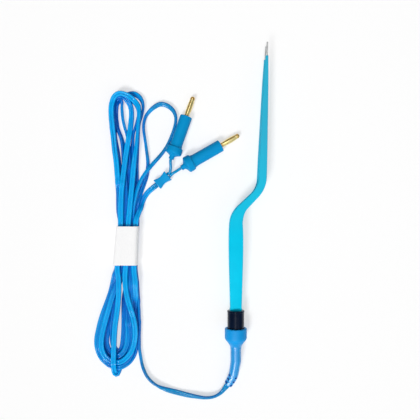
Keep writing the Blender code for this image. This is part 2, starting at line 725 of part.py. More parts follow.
def make_cord(name, route, carrier, material, thickness, width, spacing, roll=FLAT_ROLL):
    """A plain cord: a curve with a bevel, flat on the table unless its roll turns it on edge."""
    curve = bpy.data.curves.new(name, "CURVE")
    curve.dimensions = "3D"
    curve.twist_mode = "Z_UP"
    curve.bevel_depth = thickness / 2.0
    curve.extrude = (width - thickness) / 2.0
    curve.bevel_resolution = 2
    curve.use_fill_caps = True
    points = curve_points(route, spacing)
    spline = curve.splines.new("POLY")
    spline.points.add(len(points) - 1)
    rolls = np.radians(smooth_through(*zip(*roll), np.linspace(0.0, 1.0, len(points))))
    for point, place, turned in zip(spline.points, points, rolls):
        half_height = curve.bevel_depth + curve.extrude * math.sin(turned)
        height = max(place[2], half_height + CORD_OFF_TABLE)
        point.co = (place[0], place[1], height, 1.0)
        point.tilt = math.pi / 2.0 - turned
    curve.materials.append(material)
    body = bpy.data.objects.new(name, curve)
    bpy.context.scene.collection.objects.link(body)
    body.parent = carrier
    return body


def in_metres(points):
    """A route in metres."""
    return [tuple(value * MM for value in point) for point in points]


def hank_outline():
    """Closed outline of the hank from above: two lobes, drawn in at the band, with round ends."""
    band_bottom = BAND_TOP - BAND_LENGTH
    inset = 2.0 * (BAND_WALL + SEAT_GAP)
    rows = (
        (HANK_LOWER_HEIGHT, HANK_LOWER_CENTRE, HANK_LOWER_WIDTH),
        (band_bottom - BAND_STRAIGHT_BELOW, BAND_BOTTOM_CENTRE, BAND_BOTTOM_WIDTH - inset),
        (band_bottom, BAND_BOTTOM_CENTRE, BAND_BOTTOM_WIDTH - inset),
        (BAND_TOP, BAND_TOP_CENTRE, BAND_TOP_WIDTH - inset),
        (BAND_TOP + HANK_NECK_RISE, HANK_NECK_CENTRE, BAND_TOP_WIDTH + HANK_NECK_SPREAD - inset),
        (HANK_UPPER_HEIGHT - HANK_SHOULDER_DROP, HANK_SHOULDER_CENTRE, HANK_SHOULDER_WIDTH),
        (HANK_UPPER_HEIGHT, HANK_UPPER_CENTRE, HANK_UPPER_WIDTH),
    )
    knots, centres, widths = zip(*rows)
    heights = np.concatenate((
        np.linspace(HANK_LOWER_HEIGHT, band_bottom, 8),
        np.linspace(BAND_TOP, HANK_UPPER_HEIGHT, 10),
    ))
    middle = smooth_through(knots, centres, heights)
    half = smooth_through(knots, widths, heights) / 2.0
    left = list(zip(middle - half, heights))
    right = list(zip(middle + half, heights))
    turn = np.linspace(0.0, math.pi, 13)[1:-1]
    top = [
        (HANK_UPPER_CENTRE - HANK_UPPER_WIDTH / 2.0 * math.cos(a),
         HANK_UPPER_HEIGHT + HANK_UPPER_CAP * math.sin(a)) for a in turn
    ]
    bottom = [
        (HANK_LOWER_CENTRE + HANK_LOWER_WIDTH / 2.0 * math.cos(a),
         HANK_LOWER_HEIGHT - HANK_LOWER_CAP * math.sin(a)) for a in turn
    ]
    return left + top + right[::-1] + bottom


def make_hank(carrier, cord_blue, paper):
    """The hanked length of cord as one extruded outline, and the paper band round its waist."""
    low = BAND_WALL + SEAT_GAP
    high = BAND_HEIGHT - BAND_WALL - SEAT_GAP
    edge = BAND_CORNER - BAND_WALL
    outline = np.array(hank_outline())
    along = np.roll(outline, -1, axis=0) - np.roll(outline, 1, axis=0)
    outward = np.column_stack((-along[:, 1], along[:, 0]))
    outward /= np.linalg.norm(outward, axis=1)[:, None]
    rings = []
    for side, turns in ((-1.0, (90.0, 45.0, 0.0)), (1.0, (0.0, 45.0, 90.0))):
        for turn in np.radians(turns):
            drawn = outline - outward * edge * (1.0 - math.cos(turn))
            inset = edge * (1.0 - math.sin(turn))
            height = low + inset if side < 0 else high - inset
            rings.append([(x, y, height) for x, y in drawn])
    add_mesh("cord_hank", skin_rings(rings), carrier, cord_blue)

    def band_ring(y, centre_x, width, grow):
        corner = BAND_CORNER + grow
        ring = strip_ring(
            (centre_x, y, BAND_HEIGHT / 2.0), 0.0, width + 2.0 * grow,
            BAND_HEIGHT + 2.0 * grow, corner,
        )
        return ring

    ends = (
        (BAND_TOP, BAND_TOP_CENTRE, BAND_TOP_WIDTH),
        (BAND_TOP - BAND_LENGTH, BAND_BOTTOM_CENTRE, BAND_BOTTOM_WIDTH),
    )
    sleeve = [band_ring(*end, 0.0) for end in ends]
    sleeve += [band_ring(*end, -BAND_WALL) for end in ends[::-1]]
    add_mesh("hank_band", skin_rings(sleeve, joined_ends=True), carrier, paper)


def make_splitter(carrier, blue):
    """Waisted moulding where the twin cord parts into two leads."""
    half = SPLITTER_LENGTH / 2.0
    rings = []
    for share in np.linspace(-1.0, 1.0, 9):
        waist = math.cos(share * math.pi / 2.0) ** SPLITTER_WAIST_POWER
        width = SPLITTER_END_WIDTH + (SPLITTER_WAIST_WIDTH - SPLITTER_END_WIDTH) * waist
        height = SPLITTER_END_HEIGHT + (SPLITTER_WAIST_HEIGHT - SPLITTER_END_HEIGHT) * waist
        rings.append(strip_ring((0.0, share * half, 0.0), 0.0, width, height, SPLITTER_CORNER))
    body = add_mesh("splitter", skin_rings(rings), carrier, blue)
    body.location = SPLITTER_PLACE + Vector((0.0, 0.0, SPLITTER_END_HEIGHT / 2.0))
    body.rotation_euler = (0.0, 0.0, SPLITTER_HEADING - math.pi / 2.0)


def splitter_end(front, across=0.0):
    """Point in front of or behind the splitter, off its end face by the seat gap."""
    ahead = Vector((math.cos(SPLITTER_HEADING), math.sin(SPLITTER_HEADING), 0.0))
    left = Vector((-ahead.y, ahead.x, 0.0))
    reach = SPLITTER_LENGTH / 2.0 + SEAT_GAP
    place = SPLITTER_PLACE + ahead * (reach if front else -reach) + left * across
    return place + Vector((0.0, 0.0, SPLITTER_END_HEIGHT / 2.0))


def plug_tilt():
    """Nose-down tilt of a plug that lies on its collar's rim and on its front edge."""
    reach = PLUG_BODY_LENGTH - PLUG_EDGE
    return math.atan2(COLLAR_RADIUS - PLUG_FRONT_RADIUS, reach)


def plug_place(name):
    """Place of the collar's rim centre, and the plug's forward direction."""
    place, heading = PLUGS[name]
    tilt = plug_tilt()
    ahead = Vector((
        math.cos(heading) * math.cos(tilt), math.sin(heading) * math.cos(tilt), -math.sin(tilt),
    ))
    return place + Vector((0.0, 0.0, COLLAR_RADIUS * math.cos(tilt))), ahead


def make_plug(name, carrier, blue, brass):
    """One 4 mm plug: moulded body with a flared collar, turned pin and slotted spring sleeve."""
    place, _ = plug_place(name)
    _, heading = PLUGS[name]
    base = make_empty("plug_" + name + "_axis", carrier, place)
    base.rotation_euler = (-plug_tilt(), 0.0, heading - math.pi / 2.0)

    rim = COLLAR_RIM_LENGTH / 2.0
    rear = -rim - COLLAR_REAR_LENGTH
    flare = rim + COLLAR_FLARE_LENGTH
    front = PLUG_BODY_LENGTH
    seat_radius = PLUG_PIN_CORE_RADIUS + SEAT_GAP
    counterbore_radius = PLUG_PIN_COLLAR_RADIUS + SEAT_GAP
    counterbore_floor = front - PLUG_COUNTERBORE_DEPTH
    body_profile = (
        (rear - TAIL_LENGTH, TAIL_RADIUS - TAIL_END_DROP),
        (rear - TAIL_LENGTH + TAIL_END_ROUND, TAIL_RADIUS),
        (rear, TAIL_RADIUS),
        (rear + COLLAR_REAR_MID_AT, COLLAR_RADIUS - COLLAR_REAR_MID_DROP),
        (-rim, COLLAR_RADIUS - PLUG_EDGE / 2.0),
        (0.0, COLLAR_RADIUS),
        (rim, COLLAR_RADIUS - PLUG_EDGE / 2.0),
        (rim + COLLAR_FLARE_MID_AT, PLUG_REAR_RADIUS + COLLAR_FLARE_MID_RISE),
        (flare, PLUG_REAR_RADIUS),
        (front - PLUG_EDGE, PLUG_FRONT_RADIUS),
        (front, PLUG_FRONT_RADIUS - PLUG_EDGE),
        (front, counterbore_radius),
        (counterbore_floor, counterbore_radius),
        (counterbore_floor, seat_radius),
        (front - PLUG_PIN_SEAT_DEPTH - SEAT_GAP, seat_radius),
    )
    add_mesh("plug_boot_" + name, skin_rings(round_rings(body_profile)), base, blue)

    collar_back = counterbore_floor + SEAT_GAP
    collar_front = collar_back + PLUG_PIN_COLLAR_LENGTH
    nose_end = front + PLUG_PIN_EXPOSED
    nose_start = nose_end - PLUG_PIN_NOSE_LENGTH
    pin_profile = (
        (front - PLUG_PIN_SEAT_DEPTH, PLUG_PIN_CORE_RADIUS),
        (collar_back, PLUG_PIN_CORE_RADIUS),
        (collar_back, PLUG_PIN_COLLAR_RADIUS),
        (collar_front, PLUG_PIN_COLLAR_RADIUS),
        (collar_front, PLUG_PIN_CORE_RADIUS),
        (nose_start, PLUG_PIN_CORE_RADIUS),
        (nose_start, PLUG_PIN_NOSE_RADIUS),
        (nose_end - PLUG_PIN_NOSE_ROUND, PLUG_PIN_NOSE_RADIUS - PLUG_PIN_NOSE_SHOULDER_DROP),
        (nose_end - PLUG_PIN_NOSE_STEP, PLUG_PIN_NOSE_RADIUS - PLUG_PIN_NOSE_MID_DROP),
        (nose_end, PLUG_PIN_NOSE_RADIUS - PLUG_PIN_NOSE_END_DROP),
    )
    pin_rings = round_rings(pin_profile, SMALL_ROUND_STEPS)
    add_mesh("plug_pin_" + name, skin_rings(pin_rings), base, brass)

    back = collar_front + SEAT_GAP
    ahead = nose_start - SEAT_GAP
    shares = np.linspace(0.0, 1.0, 5)
    lengths = back + SPRING_END_RING + shares * (ahead - back - 2.0 * SPRING_END_RING)
    bulge = SPRING_END_RADIUS + (SPRING_BULGE_RADIUS - SPRING_END_RADIUS) * np.sin(math.pi * shares)
    outer = [(back, SPRING_END_RADIUS), *zip(lengths, bulge), (ahead, SPRING_END_RADIUS)]
    inner = [(along, radius - SPRING_WALL) for along, radius in outer]
    sleeve_rings = round_rings(outer + inner[::-1], SMALL_ROUND_STEPS)
    spring_mesh = skin_rings(sleeve_rings, joined_ends=True)
    spring = add_mesh("plug_spring_" + name, spring_mesh, base, brass)
    for k in range(SPRING_SLOT_PAIRS):
        slots = bmesh.new()
        wide = (SPRING_SLOT_WIDTH / 2.0, SPRING_BULGE_RADIUS + SPRING_SLOT_OVERCUT)
        across, up = wide if k % 2 == 0 else wide[::-1]
        box_into(slots, (-across, lengths[0], -up), (across, lengths[-1], up))
        cut_away(spring, slots, base, f"slot_cutter_{k}")


def make_cords(carrier, axis_height, cord_blue):
    """Run, side loop and tail of the twin cord, and the two single leads."""
    exit_point, ahead, _ = relief_frame(RELIEF_LENGTH)
    exit_point = exit_point + Vector((0.0, 0.0, axis_height))
    run = [exit_point + ahead * SEAT_GAP, exit_point + ahead * CORD_THICKNESS] + in_metres(RUN_ROUTE)
    flat = (CORD_THICKNESS, CORD_WIDTH, CORD_POINT_SPACING)
    make_cord("cord_run", run, carrier, cord_blue, *flat)
    make_cord("cord_side_loop", in_metres(LOOP_ROUTE), carrier, cord_blue, *flat, LOOP_ROLL)
    tail = in_metres(TAIL_ROUTE) + [splitter_end(front=False)]
    make_cord("cord_tail", tail, carrier, cord_blue, *flat)
    for name, side in (("a", 1.0), ("b", -1.0)):
        place, forward = plug_place(name)
        behind = COLLAR_RIM_LENGTH / 2.0 + COLLAR_REAR_LENGTH + TAIL_LENGTH + SEAT_GAP
        start = splitter_end(front=True, across=side * (LEAD_RADIUS + LEAD_HALF_GAP))
        end = place - forward * behind
        straight = forward * LEAD_RADIUS
        route = [start] + in_metres(LEAD_ROUTES[name]) + [end - straight, end]
        diameter = 2.0 * LEAD_RADIUS
        make_cord(
            "lead_" + name, route, carrier, cord_blue, diameter, diameter, LEAD_POINT_SPACING
        )


def plan_centre():
    """Middle, in plan, of the forceps and its connector, which the model's origin lies under."""
    stations = tine_stations()
    reach = coated_width(stations[:, 1]) / 2.0
    coat_right = stations[:, 0] + reach * np.cos(stations[:, 2])
    steel_right = stations[:, 0] + (reach - COAT_WALL - COAT_GAP) * np.cos(stations[:, 2])
    right = max(np.max(coat_right[1:-2]), np.max(steel_right))
    end_ring = relief_ring(RELIEF_LENGTH - CUP_EDGE / 2.0, RELIEF_END_RADIUS)
    cap_ring = relief_ring(RELIEF_LENGTH, RELIEF_END_RADIUS - CUP_EDGE / 2.0)
    lowest = min(point.y for point in end_ring + cap_ring)
    left = min([-CUP_RADIUS] + [point.x for point in end_ring + cap_ring])
    furthest = TIP_AT + math.cos(SHAFT_LEAN) * TIP_NOSE
    return (left + right) / 2.0, (lowest + furthest) / 2.0


def main():
    """Builds the whole model."""
    clear_scene()
    steel = make_material("brushed steel", (0.62, 0.63, 0.65), 0.32, 1.0)
    insulation = make_material("cyan insulation", (0.0, 0.60, 0.82), 0.35)
    black = make_material("black moulding", (0.012, 0.014, 0.022), 0.25)
    brass = make_material("gilt brass", (0.85, 0.62, 0.22), 0.25, 1.0)
    blue = make_material("blue moulding", (0.0, 0.27, 0.72), 0.4)
    cord_blue = make_material("blue cord", (0.0, 0.24, 0.78), 0.38)
    core_grey = make_material("dark socket block", (0.03, 0.03, 0.035), 0.5)
    paper = make_material("white paper", (0.9, 0.9, 0.9), 0.8)

    centre_x, centre_y = plan_centre()
    frame = make_empty("model_frame", None, (-centre_x, -centre_y, 0.0))
    axis = make_empty("forceps_axis", frame, (0.0, 0.0, AXIS_HEIGHT))
    make_ferrule(axis, black)
    make_contact_pins(axis, brass)
    root_height = float(steel_stand(0.0))
    for name, side in (("upper", 1.0), ("lower", -1.0)):
        hinge = make_empty(name + "_tine_hinge", axis, (0.0, 0.0, side * root_height))
        make_tine(name, side, hinge, steel, insulation)

    connector = make_empty("connector_slide", axis)
    make_connector(connector, blue, core_grey, brass)
    cord_set = make_empty("cord_set", connector, (0.0, 0.0, -AXIS_HEIGHT))
    make_hank(cord_set, cord_blue, paper)
    make_splitter(cord_set, blue)
    for name in PLUGS:
        make_plug(name, cord_set, blue, brass)
    make_cords(cord_set, AXIS_HEIGHT, cord_blue)
    bpy.context.view_layer.update()


main()
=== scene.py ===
"""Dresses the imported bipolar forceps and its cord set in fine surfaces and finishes.

The plan is drawn from the mouth of the black ferrule: +Y runs to the tips, +X is the side that
the bayonet steps to and z = 0 is the table. Sizes repeat those of the part's source, in metres.
"""

import logging
import math
from dataclasses import dataclass
from enum import Enum
from itertools import product
from typing import Any, Optional, Sequence, Union

import bmesh
import bpy
import numpy as np
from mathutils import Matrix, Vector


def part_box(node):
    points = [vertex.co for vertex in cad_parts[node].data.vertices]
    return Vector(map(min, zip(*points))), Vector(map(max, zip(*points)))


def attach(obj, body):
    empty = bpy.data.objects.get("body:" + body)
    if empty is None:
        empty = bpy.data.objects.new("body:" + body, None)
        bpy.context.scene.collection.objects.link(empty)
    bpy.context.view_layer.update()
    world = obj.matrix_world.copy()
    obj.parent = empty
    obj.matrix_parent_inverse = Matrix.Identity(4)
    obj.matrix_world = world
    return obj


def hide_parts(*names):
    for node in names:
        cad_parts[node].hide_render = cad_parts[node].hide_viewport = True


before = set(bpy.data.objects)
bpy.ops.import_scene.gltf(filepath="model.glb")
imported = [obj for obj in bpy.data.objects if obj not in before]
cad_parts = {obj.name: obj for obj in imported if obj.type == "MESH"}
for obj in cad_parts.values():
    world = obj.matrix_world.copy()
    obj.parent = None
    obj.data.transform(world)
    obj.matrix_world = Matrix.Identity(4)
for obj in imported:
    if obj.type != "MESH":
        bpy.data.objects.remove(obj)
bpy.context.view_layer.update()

MM = 0.001
SEAT_GAP = 0.3 * MM
# Names of the point attributes that carry painted shade: the share by which a piece's colour is darkened
# where strands or slots would be shaded, and where a strand lies alone
PAINTED_SHADE = "shelter"
LONE_PAINTED_SHADE = "lone"
CURVE_STEPS = 24
LOG = logging.getLogger("forceps")

Array = np.ndarray
Colour = tuple[float, float, float]
UP = np.array((0.0, 0.0, 1.0))


class Body(Enum):
    """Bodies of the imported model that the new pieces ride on."""

    UPPER_TINE = "upper_tine"
    LOWER_TINE = "lower_tine"
    CORD_SET = "cord_set"


class Slot(Enum):
    """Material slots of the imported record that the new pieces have."""

    STEEL = "steel"
    INSULATION = "insulation"
    GILT = "gilt"
    BOOT = "boot"
    PLUG = "plug_moulding"
    CORD = "cord"
    BAND = "band"


def origin() -> Array:
    """World place of the drawing's origin: the ferrule's mouth on its axis, at table height."""
    low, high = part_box("ferrule")
    return np.array(((low[0] + high[0]) / 2.0, high[1], 0.0))


def monotone(rows: Sequence[tuple[float, float]], at: Array) -> Array:
    """Smooth curve through (place, value) rows that never overshoots them.

    A cubic between each two rows, whose slope at a row is the harmonic mean of the slopes beside
    it, and zero where the values turn back.

    Args:
        rows: places in rising order, with the value at each.
        at: places to read.

    Returns:
        The values there.
    """
    knots, values = (np.asarray(column, dtype=float) for column in zip(*rows))
    spans = np.diff(knots)
    slopes = np.diff(values) / spans
    same_way = slopes[1:] * slopes[:-1] > 0.0
    total = np.where(same_way, slopes[1:] + slopes[:-1], 1.0)
    inner = np.where(same_way, 2.0 * slopes[1:] * slopes[:-1] / total, 0.0)
    tangents = np.concatenate(([slopes[0]], inner, [slopes[-1]]))
    at = np.asarray(at, dtype=float)
    k = np.clip(np.searchsorted(knots, at, side="right") - 1, 0, len(spans) - 1)
    t = np.clip((at - knots[k]) / spans[k], 0.0, 1.0)
    rise = spans[k] * (tangents[k] * (t**3 - 2.0 * t**2 + t) + tangents[k + 1] * (t**3 - t**2))
    ease = 3.0 * t**2 - 2.0 * t**3
    return values[k] * (1.0 - ease) + values[k + 1] * ease + rise


def through(points: Array, spacing: float) -> Array:
    """Evenly spaced rows on a smooth curve through given rows.

    Between two rows the curve is the cubic whose end slopes are half the step between the rows on
    either side. Columns past the third, such as a roll, are carried along.

    Args:
        points: rows of x, y, z and any further columns.
        spacing: distance between the rows that are returned.

    Returns:
        The evenly spaced rows.
    """
    ends = np.vstack((2.0 * points[0] - points[1], points, 2.0 * points[-1] - points[-2]))
    t = np.linspace(0.0, 1.0, CURVE_STEPS, endpoint=False)[None, :, None]
    a, b, c, d = (ends[k : len(points) - 1 + k, None, :] for k in range(4))
    curve = 0.5 * (
        2.0 * b + (c - a) * t + (2.0 * a - 5.0 * b + 4.0 * c - d) * t**2
        + (3.0 * b - a - 3.0 * c + d) * t**3
    )
    curve = np.vstack((curve.reshape(-1, points.shape[1]), points[-1]))
    walked = walk(curve)
    marks = np.linspace(0.0, walked[-1], max(4, round(walked[-1] / spacing)) + 1)
    return np.column_stack([np.interp(marks, walked, column) for column in curve.T])


def walk(line: Array) -> Array:
    """Distance walked along a line at each of its rows."""
    steps = np.linalg.norm(np.diff(line[:, :3], axis=0), axis=1)
    return np.concatenate(([0.0], np.cumsum(steps)))


def unit(vectors: Array) -> Array:
    """Vectors scaled to length one."""
    return vectors / np.maximum(np.linalg.norm(vectors, axis=-1, keepdims=True), 1e-12)


def tangents_of(line: Array) -> Array:
    """Forward direction at each row of a line."""
    return unit(np.gradient(line[:, :3], axis=0))


def crosswise(ahead: Array) -> tuple[Array, Array]:
    """Level sideways directions for forward ones, and the directions above them."""
    side = unit(np.cross(ahead, UP))
    return side, np.cross(side, ahead)


def circle(steps: int) -> Array:
    """Angles of evenly spaced points round a circle."""
    return 2.0 * math.pi * np.arange(steps) / steps


def sections(line: Array, outline: Array, roll: Optional[Array] = None) -> Array:
    """Carries a flat outline along a line.

    Each ring is the line's point plus the outline's first column along the level sideways
    direction and its second along the direction above it, both turned by the roll.

    Args:
        line: rows of x, y, z.
        outline: (n, 2) for one outline, or (rows, n, 2) for one at each row.
        roll: turn of the outline about the line at each row, in radians.

    Returns:
        Rings, as an array (rows, n, 3).
    """
    side, above = crosswise(tangents_of(line))
    if roll is not None:
        turn_cos, turn_sin = np.cos(roll)[:, None], np.sin(roll)[:, None]
        side, above = side * turn_cos + above * turn_sin, above * turn_cos - side * turn_sin
    outline = np.broadcast_to(outline, (len(line), *outline.shape[-2:]))
    spread = outline[..., :1] * side[:, None] + outline[..., 1:] * above[:, None]
    return line[:, None, :3] + spread


def swept(along: Array, radius: Array, angles: Array) -> Array:
    """Rings, or arcs of rings, about the Y axis.

    Args:
        along: place of each ring along Y.
        radius: radius of each ring.
        angles: places round the axis, the same for every ring.

    Returns:
        The rings, as an array (rings, angles, 3).
    """
    rings = np.empty((len(along), len(angles), 3))
    rings[..., 0] = radius[:, None] * np.cos(angles)
    rings[..., 1] = along[:, None]
    rings[..., 2] = radius[:, None] * np.sin(angles)
    return rings


def turned(profile: Sequence[tuple[float, float]], steps: int) -> Array:
    """Rings of a turned shape about the Y axis, from (place along Y, radius) pairs."""
    along, radius = np.asarray(profile, dtype=float).T
    return swept(along, radius, circle(steps))


def rotated(points: Array, angle: float) -> Array:
    """Flat points turned anticlockwise about their origin."""
    x, y, cosine, sine = points[..., 0], points[..., 1], math.cos(angle), math.sin(angle)
    return np.stack((x * cosine - y * sine, x * sine + y * cosine), axis=-1)


def upright(outline: Array, along: float, across: float = 0.0, up: float = 0.0) -> Array:
    """Ring of a flat outline that stands across the Y axis, moved sideways and up."""
    return np.column_stack((outline[:, 0] + across, np.full(len(outline), along), outline[:, 1] + up))


def rounded(corners: Sequence[tuple[float, float, float]], steps: int = 5) -> list[tuple[float, float]]:
    """A profile with its corners rounded off.

    Each corner gets a curve whose middle is drawn to the corner: the parabola between the points
    that lie its rounding's length before and after it.

    Args:
        corners: (place, radius, rounding) rows; a rounding of 0 keeps the corner sharp.
        steps: points to each rounded corner.

    Returns:
        (place, radius) pairs.
    """
    rows = np.asarray(corners, dtype=float)
    out: list[tuple[float, float]] = []
    for k, (place, radius, rounding) in enumerate(rows):
        if rounding <= 0.0 or k in (0, len(rows) - 1):
            out.append((place, radius))
            continue
        here = rows[k, :2]
        before = here + unit(rows[k - 1, :2] - here) * rounding
        after = here + unit(rows[k + 1, :2] - here) * rounding
        t = np.linspace(0.0, 1.0, steps)[:, None]
        curve = before * (1.0 - t) ** 2 + here * 2.0 * t * (1.0 - t) + after * t**2
        out += [tuple(point) for point in curve]
    return out


def joined(index: Array, closed: bool) -> Array:
    """Quads between neighbouring rings.

    Args:
        index: point numbers, as an array (rings, points).
        closed: joins the last ring to the first.

    Returns:
        Point numbers of each quad, as an array (quads, 4).
    """
    first, second = (index, np.roll(index, -1, axis=0)) if closed else (index[:-1], index[1:])
    return np.stack(
        (first, np.roll(first, -1, axis=1), np.roll(second, -1, axis=1), second), axis=-1
    ).reshape(-1, 4)


def link(name: str, data: Any) -> bpy.types.Object:
    """Makes an object of some data and puts it in the scene.

    Args:
        name: name of the object.
        data: its mesh, camera or lamp.

    Returns:
        The object.
    """
    thing = bpy.data.objects.new(name, data)
    bpy.context.scene.collection.objects.link(thing)
    return thing


def outward(mesh: bpy.types.Mesh) -> None:
    """Turns a mesh's faces to point outwards.

    Args:
        mesh: the mesh, which is changed.
    """
    work = bmesh.new()
    work.from_mesh(mesh)
    bmesh.ops.recalc_face_normals(work, faces=work.faces)
    work.to_mesh(mesh)
    work.free()


def shaped(
    name: str, points: Array, faces: list[list[int]], sharp: float, turn: bool = False
) -> bpy.types.Object:
    """Makes a smooth mesh object.

    Args:
        name: name of the piece.
        points: its points, in the world.
        faces: point numbers of each face.
        sharp: edges that turn by more than this many degrees stay sharp.
        turn: turns the faces outwards first.

    Returns:
        The object, at the origin.
    """
    mesh = bpy.data.meshes.new(name)
    mesh.from_pydata(points.tolist(), [], faces)
    mesh.update()
    if turn:
        outward(mesh)
    mesh.shade_smooth()
    mesh.set_sharp_from_angle(angle=math.radians(sharp))
    return link(name, mesh)


def skin(name: str, rings: Array, ring_shape: bool = False, sharp: float = 35.0) -> bpy.types.Object:
    """Joins rings into one closed mesh object that faces outwards.

    Neighbouring rings are joined by quads. The two end rings are closed by fans to their middle
    points, or joined to each other where the shape has a hole through it.

    Args:
        name: name of the piece.
        rings: array (rings, points, 3), in the world.
        ring_shape: joins the last ring to the first.
        sharp: edges that turn by more than this many degrees stay sharp.

    Returns:
        The object, at the origin.
    """
    rows, count = rings.shape[:2]
    index = np.arange(rows * count).reshape(rows, count)
    quads = joined(index, ring_shape)
    points = rings.reshape(-1, 3)
    faces = quads.tolist()
    if not ring_shape:
        points = np.vstack((points, rings[0].mean(axis=0), rings[-1].mean(axis=0)))
        head, foot = rows * count, rows * count + 1
        start, end = index[0], index[-1]
        faces += np.column_stack((np.roll(start, -1), start, np.full(count, head))).tolist()
        faces += np.column_stack((end, np.roll(end, -1), np.full(count, foot))).tolist()
    a, b, c, d = (points[quads[:, k]] for k in range(4))
    middle = points.mean(axis=0)
    swell = np.einsum("ij,ij->i", (a + b + c + d) / 4.0 - middle, np.cross(c - a, d - b)).sum()
    if swell < 0.0:
        faces = [face[::-1] for face in faces]
    return shaped(name, points, faces, sharp)


def share_points(piece: bpy.types.Object, name: str, shares: Array) -> None:
    """Stores a share at each point of a skinned piece, for its finish: the share of painted shade in its
    colour.

    Args:
        piece: object made by skin, with two end points after its rings.
        name: name of the attribute.
        shares: shares from 0 to 1, as an array (rings, points).
    """
    ends = (shares[0].mean(), shares[-1].mean())
    attribute = piece.data.attributes.new(name, "FLOAT", "POINT")
    attribute.data.foreach_set("value", np.append(shares.ravel(), ends).astype(np.float32))


def placed(rings: Array, at: Array, ahead: Array) -> Array:
    """Moves rings drawn about the Y axis so that Y runs along a direction from a point.

    Args:
        rings: rings about the Y axis.
        at: where the drawing's origin goes.
        ahead: unit direction of the drawing's +Y.

    Returns:
        The moved rings.
    """
    side, above = crosswise(ahead)
    return at + rings[..., :1] * side + rings[..., 1:2] * ahead + rings[..., 2:] * above


class Socket:
    """A shader socket whose operators add Math nodes."""

    def __init__(self, graph: "Graph", link: Any) -> None:
        """Wraps a link of a graph."""
        self.graph = graph
        self.link = link

    def _maths(self, operation: str, *values: "Value") -> "Socket":
        """Adds a Math node on these values."""
        return self.graph.node("ShaderNodeMath", {"operation": operation}, dict(enumerate(values)))

    def __add__(self, other: "Value") -> "Socket":
        """self + other."""
        return self._maths("ADD", self, other)

    def __radd__(self, other: float) -> "Socket":
        """other + self."""
        return self._maths("ADD", other, self)

    def __sub__(self, other: "Value") -> "Socket":
        """self - other."""
        return self._maths("SUBTRACT", self, other)

    def __rsub__(self, other: float) -> "Socket":
        """other - self."""
        return self._maths("SUBTRACT", other, self)

    def __mul__(self, other: "Value") -> "Socket":
        """self * other."""
        return self._maths("MULTIPLY", self, other)

    def __rmul__(self, other: float) -> "Socket":
        """other * self."""
        return self._maths("MULTIPLY", other, self)


Value = Union[Socket, float]


class Graph:
    """Nodes of one material."""

    def __init__(self, name: str, material: Optional[bpy.types.Material] = None) -> None:
        """Starts a material with its Principled shader, or goes on with one.

        Args:
            name: name of a new material.
            material: the material to go on with, where there is one.
        """
        self.material = material or bpy.data.materials.new(name)
        self.material.use_nodes = True
        self.tree = self.material.node_tree
        self.shader = self.tree.nodes["Principled BSDF"]

    def node(self, kind: str, settings: dict[str, Any], inputs: dict[Any, Any], output: Any = 0) -> Socket:
        """Adds a node.

        Args:
            kind: type of the node.
            settings: attributes that are set first.
            inputs: values or sockets, by the input's name or index.
            output: name or index of the output that is returned.

        Returns:
            That output.
        """
        node = self.tree.nodes.new(kind)
        for key, value in settings.items():
            setattr(node, key, value)
        for key, value in inputs.items():
            self.set(node.inputs[key], value)
        return Socket(self, node.outputs[output])

    @classmethod
    def of(cls, material: bpy.types.Material) -> "Graph":
        """Graph of a material that is already made."""
        return cls(material.name, material)

    def fed(self, name: str) -> Socket:
        """What feeds an input of the Principled shader."""
        return Socket(self, self.shader.inputs[name].links[0].from_socket)

    def set(self, target: Any, value: Any) -> None:
        """Links or writes a value to a node's input.

        Args:
            target: the input.
            value: socket to link, or number, colour or vector to write.
        """
        if isinstance(value, Socket):
            self.tree.links.new(value.link, target)
        elif isinstance(value, tuple) and len(value) == 3 and len(target.default_value) == 4:
            target.default_value = (*value, 1.0)
        else:
            target.default_value = value

    def shade(self, **values: Any) -> None:
        """Sets the Principled shader's inputs, whose spaces are written as underscores."""
        for key, value in values.items():
            self.set(self.shader.inputs[key.replace("_", " ")], value)

    def place(self, scale: tuple[float, float, float] = (1.0, 1.0, 1.0), turn: float = 0.0) -> Socket:
        """Object coordinates, turned about Z and stretched.

        Args:
            scale: factors along X, Y and Z.
            turn: turn about Z, in radians.

        Returns:
            The coordinates.
        """
        where = self.node("ShaderNodeTexCoord", {}, {}, "Object")
        return self.node(
            "ShaderNodeMapping", {}, {"Vector": where, "Scale": scale, "Rotation": (0.0, 0.0, turn)}
        )

    def along(self) -> Socket:
        """Object coordinate along Y."""
        where = self.node("ShaderNodeTexCoord", {}, {}, "Object")
        return self.node("ShaderNodeSeparateXYZ", {}, {"Vector": where}, 1)

    def noise(self, where: Socket, scale: float, detail: float = 2.0, rough: float = 0.5) -> Socket:
        """Noise from 0 to 1.

        Args:
            where: coordinates.
            scale: waves per metre.
            detail: how many times finer waves are added.
            rough: strength of the finer waves.

        Returns:
            The noise.
        """
        return self.node(
            "ShaderNodeTexNoise", {"noise_dimensions": "3D"},
            {"Vector": where, "Scale": scale, "Detail": detail, "Roughness": rough},
        )

    def mix(self, share: Value, low: Union[Socket, Colour], high: Union[Socket, Colour]) -> Socket:
        """Colour between two, by a share from 0 to 1."""
        return self.node("ShaderNodeMix", {"data_type": "RGBA"}, {0: share, 6: low, 7: high}, 2)

    def spread(self, value: Socket, low: float, high: float) -> Socket:
        """Stretches a range of values to the range from 0 to 1, and clips it.

        Args:
            value: the values.
            low: value that becomes 0.
            high: value that becomes 1.

        Returns:
            Shares from 0 to 1.
        """
        return self.node(
            "ShaderNodeMapRange", {"clamp": True}, {"Value": value, "From Min": low, "From Max": high}
        )

    def bump(self, height: Socket, depth: float, strength: float = 1.0) -> Socket:
        """Normals from a height of 0 to 1 that stands for a depth in metres."""
        inputs = {"Height": height, "Distance": depth, "Strength": strength}
        return self.node("ShaderNodeBump", {}, inputs)


